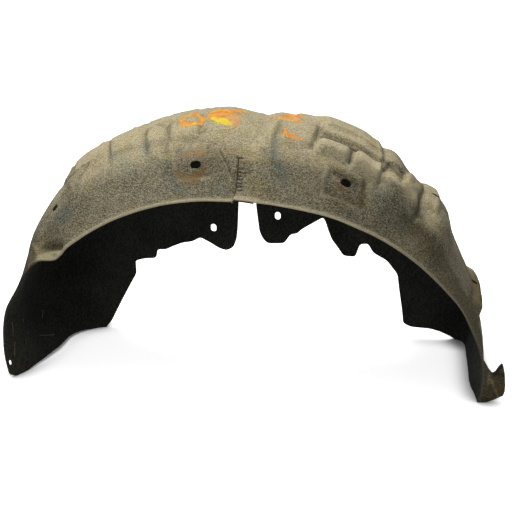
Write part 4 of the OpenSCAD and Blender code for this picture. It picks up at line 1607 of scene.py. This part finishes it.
@dataclass(frozen=True)
class FaceFelt:
    """Outer face: needled felt with dust, stains and smears of paint, and painted highlight and shade."""

    dark: Colour = (0.052, 0.047, 0.033, 1)
    light: Colour = (0.570, 0.515, 0.358, 1)
    # Pale colour of dust and of painted highlight
    dust_and_highlight: Colour = (0.740, 0.630, 0.390, 1)
    cool: Colour = (0.62, 0.80, 1.0, 1)
    warm: Colour = (1.0, 0.94, 0.74, 1)
    # Olive darkening: grime, and painted shade on the sides and in creases and recesses
    olive: Colour = (0.40, 0.385, 0.31, 1)
    # Cream of the lip band and of the painted highlights
    rim: Colour = (0.660, 0.570, 0.370, 1)
    # Near black of seams and stitches, of painted shade in creases and folds, and of the darker legs
    near_black: Colour = (0.030, 0.026, 0.019, 1)
    brown: Colour = (0.210, 0.120, 0.035, 1)
    orange: Colour = (0.840, 0.240, 0.015, 1)
    amber: Colour = (0.950, 0.450, 0.030, 1)
    yellow: Colour = (0.980, 0.740, 0.002, 1)
    faded: Colour = (0.720, 0.400, 0.170, 1)
    clumps: Cells = Cells(330.0, 3.0, 0.65, 0.6, 1.5)
    fibres: Cells = Cells(760.0, 2.0, 0.6, 0.8, 1.9)
    crinkle: Cells = Cells(150.0, 3.0, 0.6, 1.2, 1.5)
    patches: Cells = Cells(19.0, 3.0, 0.6)
    broad: Cells = Cells(6.5)
    warm_spots: Cells = Cells(42.0, 3.0, 0.6)
    ragged: Cells = Cells(75.0, 3.0, 0.6)
    hues: Cells = Cells(95.0)
    bump_depth: float = 0.0023
    # Weights of clumps, fibres and crinkle
    grain_mix: tuple[float, float, float] = (0.32, 0.56, 0.12)
    bump_mix: tuple[float, float, float] = (0.8, 0.45, 1.2)
    # How strongly a mark counts, and how strongly noise breaks it up
    dust_highlight_gain: float = 0.85
    dust_highlight_patchy: float = 0.6
    dust_highlight_broad: float = 0.4
    cold_gain: float = 0.9
    cold_patchy: float = 1.6
    dirt_and_shade_patchy: float = 0.35
    stain_patchy: float = 0.5
    stain_clumpy: float = 0.8
    paint_ragged: float = 1.4
    paint_clumpy: float = 1.5
    core_ragged: float = 0.7
    hue_clumpy: float = 0.4
    # Low and high ends, between which each value goes from 0 to 1
    grain_ramp: Ramp = (0.432, 0.625)
    cold_ramp: Ramp = (0.1, 0.9)
    warm_ramp: Ramp = (0.46, 0.7)
    dirt_and_shade_ramp: Ramp = (-0.05, 1.05)
    stain_ramp: Ramp = (0.15, 1.1)
    smear_ramp: Ramp = (-0.12, 0.30)
    hue_ramp: Ramp = (0.55, 0.85)
    core_ramp: Ramp = (0.0, 0.45)
    # Most that a layer covers
    cold_most: float = 0.75
    warm_most: float = 0.7
    stain_most: float = 0.75
    seams_and_shade_most: float = 0.9
    faded_most: float = 0.7
    bare_where_thin: float = 0.35
    # Gain and base of the grain that shows through a layer
    dust_highlight_grain: tuple[float, float] = (0.75, 0.38)
    lip_and_highlight_grain: tuple[float, float] = (0.45, 0.45)
    paint_grain: tuple[float, float] = (0.4, 0.6)

    def soiled(self, t: Tree, colour: Link, patches: Link) -> Link:
        """Damp, warm spots, and grime with painted shade over the felt.

        Args:
            t: The tree.
            colour: Colour of the clean felt.
            patches: Patches of some centimetres.

        Returns:
            The new colour.
        """
        cold = (t.mark("cool") * self.cold_gain + patches.swing(self.cold_patchy)).ramp(*self.cold_ramp)
        colour = t.blend(cold * self.cold_most, colour, self.cool, "MULTIPLY")
        warm = t.noise(self.warm_spots).ramp(*self.warm_ramp)
        colour = t.blend(warm * self.warm_most, colour, self.warm, "MULTIPLY")
        # Grime and painted shade darken the felt to olive
        dirt_and_shade = (t.mark("grime_and_shade") + patches.swing(self.dirt_and_shade_patchy)).ramp(*self.dirt_and_shade_ramp)
        return t.blend(dirt_and_shade, colour, self.olive, "MULTIPLY")

    def painted(self, t: Tree, colour: Link, clumps: Link, grain: Link) -> Link:
        """Smears of paint over the felt.

        Args:
            t: The tree.
            colour: Colour of the felt.
            clumps: Clumps of fibres, which break up the edges.
            grain: Grain of the felt, which shows through.

        Returns:
            The new colour.
        """
        ragged = t.noise(self.ragged).swing(self.paint_ragged) + clumps.swing(self.paint_clumpy)
        smear = (t.mark("paint") + ragged).ramp(*self.smear_ramp)
        mixed = (t.noise(self.hues) + clumps * self.hue_clumpy).ramp(*self.hue_ramp)
        hue = t.blend(mixed, self.orange, self.amber)
        bright = (t.mark("core") + ragged * self.core_ragged).ramp(*self.core_ramp)
        hue = t.blend(bright, hue, self.yellow)
        hue = t.blend(t.mark("thin") * self.faded_most, hue, self.faded)
        cover = smear * (1 - t.mark("thin") * self.bare_where_thin) * grain.graded(*self.paint_grain)
        return t.blend(cover, colour, hue)

    def make(self) -> bpy.types.Material:
        """Build the material.

        Returns:
            The material.
        """
        t = new_tree("felt_face")
        clumps, fibres, crinkle = (t.noise(c) for c in (self.clumps, self.fibres, self.crinkle))
        patches, broad = t.noise(self.patches), t.noise(self.broad)
        needled = (clumps, fibres, crinkle)
        grain = weighed(needled, self.grain_mix).ramp(*self.grain_ramp)
        # Dust and painted highlight make the felt pale
        dusty_and_lit = t.mark("dust_and_highlight") * self.dust_highlight_gain + patches.swing(self.dust_highlight_patchy)
        dusty_and_lit += broad.swing(self.dust_highlight_broad)
        colour = t.blend(grain, self.dark, self.light)
        colour = t.blend(dusty_and_lit * grain.graded(*self.dust_highlight_grain), colour, self.dust_and_highlight)
        colour = self.soiled(t, colour, patches)
        stained = t.mark("brown") + patches.swing(self.stain_patchy) + clumps.swing(self.stain_clumpy)
        colour = t.blend(stained.ramp(*self.stain_ramp) * self.stain_most, colour, self.brown)
        # Pale lip band and painted highlights
        colour = t.blend(t.mark("lip") * grain.graded(*self.lip_and_highlight_grain), colour, self.rim)
        # Seams, painted shade in creases and folds, and the darker legs
        colour = t.blend(t.mark("seams_and_shade") * self.seams_and_shade_most, colour, self.near_black)
        colour = self.painted(t, colour, clumps, grain)
        normal = t.bump(weighed(needled, self.bump_mix), 1.0, self.bump_depth)
        return t.finish(colour, normal, 0.96)


@dataclass(frozen=True)
class BackFelt:
    """Wheel side: nearly black felt, a little olive near the lip."""

    dark: Colour = (0.0085, 0.0088, 0.0090, 1)
    light: Colour = (0.0500, 0.0500, 0.0400, 1)
    olive: Colour = (0.0560, 0.0530, 0.0300, 1)
    clumps: Cells = Cells(420.0, 3.0, 0.65, 0.6, 0.5)
    fibres: Cells = Cells(800.0, 2.0, 0.6, 0.8, 0.6)
    broad: Cells = Cells(13.0, 3.0, 0.55)
    # Weights of clumps, fibres and broad patches
    share_mix: tuple[float, float, float] = (0.6, 0.4, 0.3)
    share_ramp: Ramp = (0.5, 0.84)
    olive_y: Ramp = (-0.11, -0.02)
    olive_broad: tuple[float, float] = (0.7, 0.2)
    olive_ramp: Ramp = (0.35, 0.65)
    bump_mix: tuple[float, float] = (0.8, 0.3)
    bump_strength: float = 0.9
    bump_depth: float = 0.0012

    def make(self) -> bpy.types.Material:
        """Build the material.

        Returns:
            The material.
        """
        t = new_tree("felt_back")
        clumps, fibres, broad = (t.noise(c) for c in (self.clumps, self.fibres, self.broad))
        share = weighed((clumps, fibres, broad), self.share_mix).ramp(*self.share_ramp)
        colour = t.blend(share, self.dark, self.light)
        near = (1 - t.depth().ramp(*self.olive_y)) * broad.graded(*self.olive_broad)
        colour = t.blend(near * clumps.ramp(*self.olive_ramp), colour, self.olive)
        height = weighed((clumps, fibres), self.bump_mix)
        return t.finish(colour, t.bump(height, self.bump_strength, self.bump_depth))


@dataclass(frozen=True)
class CutFelt:
    """Cut edges: pale fibres round the arch, dark ones at the legs and the inboard wall."""

    dark: Colour = (0.018, 0.017, 0.012, 1)
    worn: Colour = (0.062, 0.056, 0.038, 1)
    pale: Colour = (0.700, 0.625, 0.440, 1)
    fibres: Cells = Cells(520.0, 3.0, 0.7)
    worn_ramp: Ramp = (0.35, 0.62)
    pale_y: Ramp = (-0.099, -0.094)
    pale_ramp: Ramp = (0.25, 0.55)
    pale_fibres: tuple[float, float] = (0.6, 0.4)
    bump_strength: float = 0.8
    bump_depth: float = 0.0007

    def make(self) -> bpy.types.Material:
        """Build the material.

        Returns:
            The material.
        """
        t = new_tree("felt_cut")
        fibres = t.noise(self.fibres)
        front = 1 - t.depth().ramp(*self.pale_y)
        colour = t.blend(fibres.ramp(*self.worn_ramp), self.dark, self.worn)
        share = t.mark("rim") * front * fibres.ramp(*self.pale_ramp).graded(*self.pale_fibres)
        colour = t.blend(share, colour, self.pale)
        return t.finish(colour, t.bump(fibres, self.bump_strength, self.bump_depth))


@dataclass(frozen=True)
class ShadedTongueFelt:
    """Felt of the strip under the lap, coloured dark brown as painted shade under the lap."""

    dark: Colour = (0.020, 0.015, 0.009, 1)
    light: Colour = (0.085, 0.062, 0.035, 1)
    fibres: Cells = Cells(520.0, 3.0, 0.7)
    light_ramp: Ramp = (0.35, 0.65)
    bump_strength: float = 0.8
    bump_depth: float = 0.0007

    def make(self) -> bpy.types.Material:
        """Build the material.

        Returns:
            The material.
        """
        t = new_tree("felt_tongue_shade")
        fibres = t.noise(self.fibres)
        colour = t.blend(fibres.ramp(*self.light_ramp), self.dark, self.light)
        normal = t.bump(fibres, self.bump_strength, self.bump_depth)
        return t.finish(colour, normal, specular=0.1)


@dataclass(frozen=True)
class LintFelt:
    """Pale loose fibres."""

    pale: Colour = (0.300, 0.275, 0.190, 1)

    def make(self) -> bpy.types.Material:
        """Build the material."""
        return new_tree("felt_lint").finish(self.pale, rough=0.9, specular=0.1)


@dataclass
class Studio:
    """Pale floor, soft lamps and the camera."""

    target: tuple[float, float, float] = (-0.000816, -0.001515, 0.183)
    azimuth: float = 6.0
    elevation: float = 24.0
    distance: float = 1.8
    lens: float = 81.0
    sensor: float = 36.0
    ambient: float = 0.30
    floor_size: float = 30.0
    floor_z: float = -0.0002
    floor_dim: Colour = (0.45, 0.45, 0.45, 1)
    floor_pale: Colour = (0.9, 0.9, 0.9, 1)
    # Reach, samples and ramp of the painted contact shadow on the floor
    painted_shadow_reach: float = 0.045
    painted_shadow_samples: int = 12
    painted_shadow_ramp: Ramp = (0.5, 0.97)
    glow: float = 0.8
    lamps: tuple[tuple[str, tuple[float, float, float], float, float], ...] = (
        ("top_lamp", (-0.35, 0.45, 2.3), 1.9, 56.0),
        ("front_lamp", (-0.8, -2.2, 1.6), 1.6, 8.0))

    def camera(self) -> None:
        """Camera at the photograph's viewing angle."""
        az, el = math.radians(self.azimuth), math.radians(self.elevation)
        back = Vector((math.sin(az) * math.cos(el), -math.cos(az) * math.cos(el), math.sin(el)))
        data = bpy.data.cameras.new("camera")
        data.lens, data.sensor_width = self.lens, self.sensor
        eye = bpy.data.objects.new("camera", data)
        eye.location = Vector(self.target) + back * self.distance
        eye.rotation_euler = back.to_track_quat("Z", "Y").to_euler()
        bpy.context.collection.objects.link(eye)
        bpy.context.scene.camera = eye

    def lamp(self, name: str, place: tuple[float, float, float], size: float, power: float) -> None:
        """Add a square lamp that faces the object.

        Args:
            name: Its name.
            place: Where it hangs.
            size: Length of its sides.
            power: Its power in watts.
        """
        data = bpy.data.lights.new(name, "AREA")
        data.size, data.energy = size, power
        lamp = bpy.data.objects.new(name, data)
        lamp.location = place
        towards = Vector(self.target) - Vector(place)
        lamp.rotation_euler = towards.to_track_quat("-Z", "Y").to_euler()
        bpy.context.collection.objects.link(lamp)

    def floor(self) -> None:
        """Pale floor that keeps the object's shadow, with a painted contact shadow where the object
        touches it.
        """
        bpy.ops.object.select_all(action="DESELECT")
        bpy.ops.mesh.primitive_plane_add(size=self.floor_size, location=(0, 0, self.floor_z))
        ground = settle(bpy.context.object, "floor")
        t = new_tree("floor_white")
        bounce = t.node("ShaderNodeBsdfDiffuse", {}, {"Color": self.floor_dim})["BSDF"]
        matte = t.node("ShaderNodeBsdfDiffuse", {}, {"Color": self.floor_pale})["BSDF"]
        settings = {"samples": self.painted_shadow_samples}
        # Painted contact shadow: ambient occlusion darkens the floor's glow near the object
        near = t.node("ShaderNodeAmbientOcclusion", settings, {"Distance": self.painted_shadow_reach})["AO"]
        glow = {"Color": near.ramp(*self.painted_shadow_ramp), "Strength": self.glow}
        lit = t.node("ShaderNodeEmission", {}, glow)[0]
        plain = t.node("ShaderNodeAddShader", {}, {0: matte, 1: lit})[0]
        shown = t.node("ShaderNodeMixShader", {}, {0: t.rays_to_white(), 1: bounce, 2: plain})[0]
        t.node("ShaderNodeOutputMaterial", {}, {"Surface": shown})
        ground.data.materials.append(t.owner)

    def world(self) -> None:
        """White surroundings, plain to the camera and dimmer as a light."""
        t = Tree(bpy.data.worlds.new("studio"))
        values = {"Value": t.rays_to_white(), "To Min": self.ambient, "To Max": 1.0}
        level = t.node("ShaderNodeMapRange", {}, values)["Result"]
        back = t.node("ShaderNodeBackground", {}, {"Color": (1, 1, 1, 1), "Strength": level})[0]
        t.node("ShaderNodeOutputWorld", {}, {"Surface": back})
        bpy.context.scene.world = t.owner

    def build(self) -> None:
        """Set up the whole studio."""
        bpy.context.scene.view_settings.view_transform = "Standard"
        self.floor()
        self.world()
        self.camera()
        for lamp in self.lamps:
            self.lamp(*lamp)


def main() -> None:
    """Build the dressed liner and the studio."""
    logging.basicConfig(level=logging.INFO, format="%(message)s")
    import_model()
    form = PressForm()
    finishes = (FaceFelt().make(), BackFelt().make(), CutFelt().make())
    shell = FeltShell(form, Ear(form, finishes), Marks(), finishes).build()
    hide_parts("arch_liner")
    for piece in (shell, DartTongue(form).build(), LooseFibres(form).build()):
        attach(piece, "root")
        LOG.info("%s: %d faces", piece.name, len(piece.data.polygons))
    Studio().build()


if __name__ == "__main__":
    main()
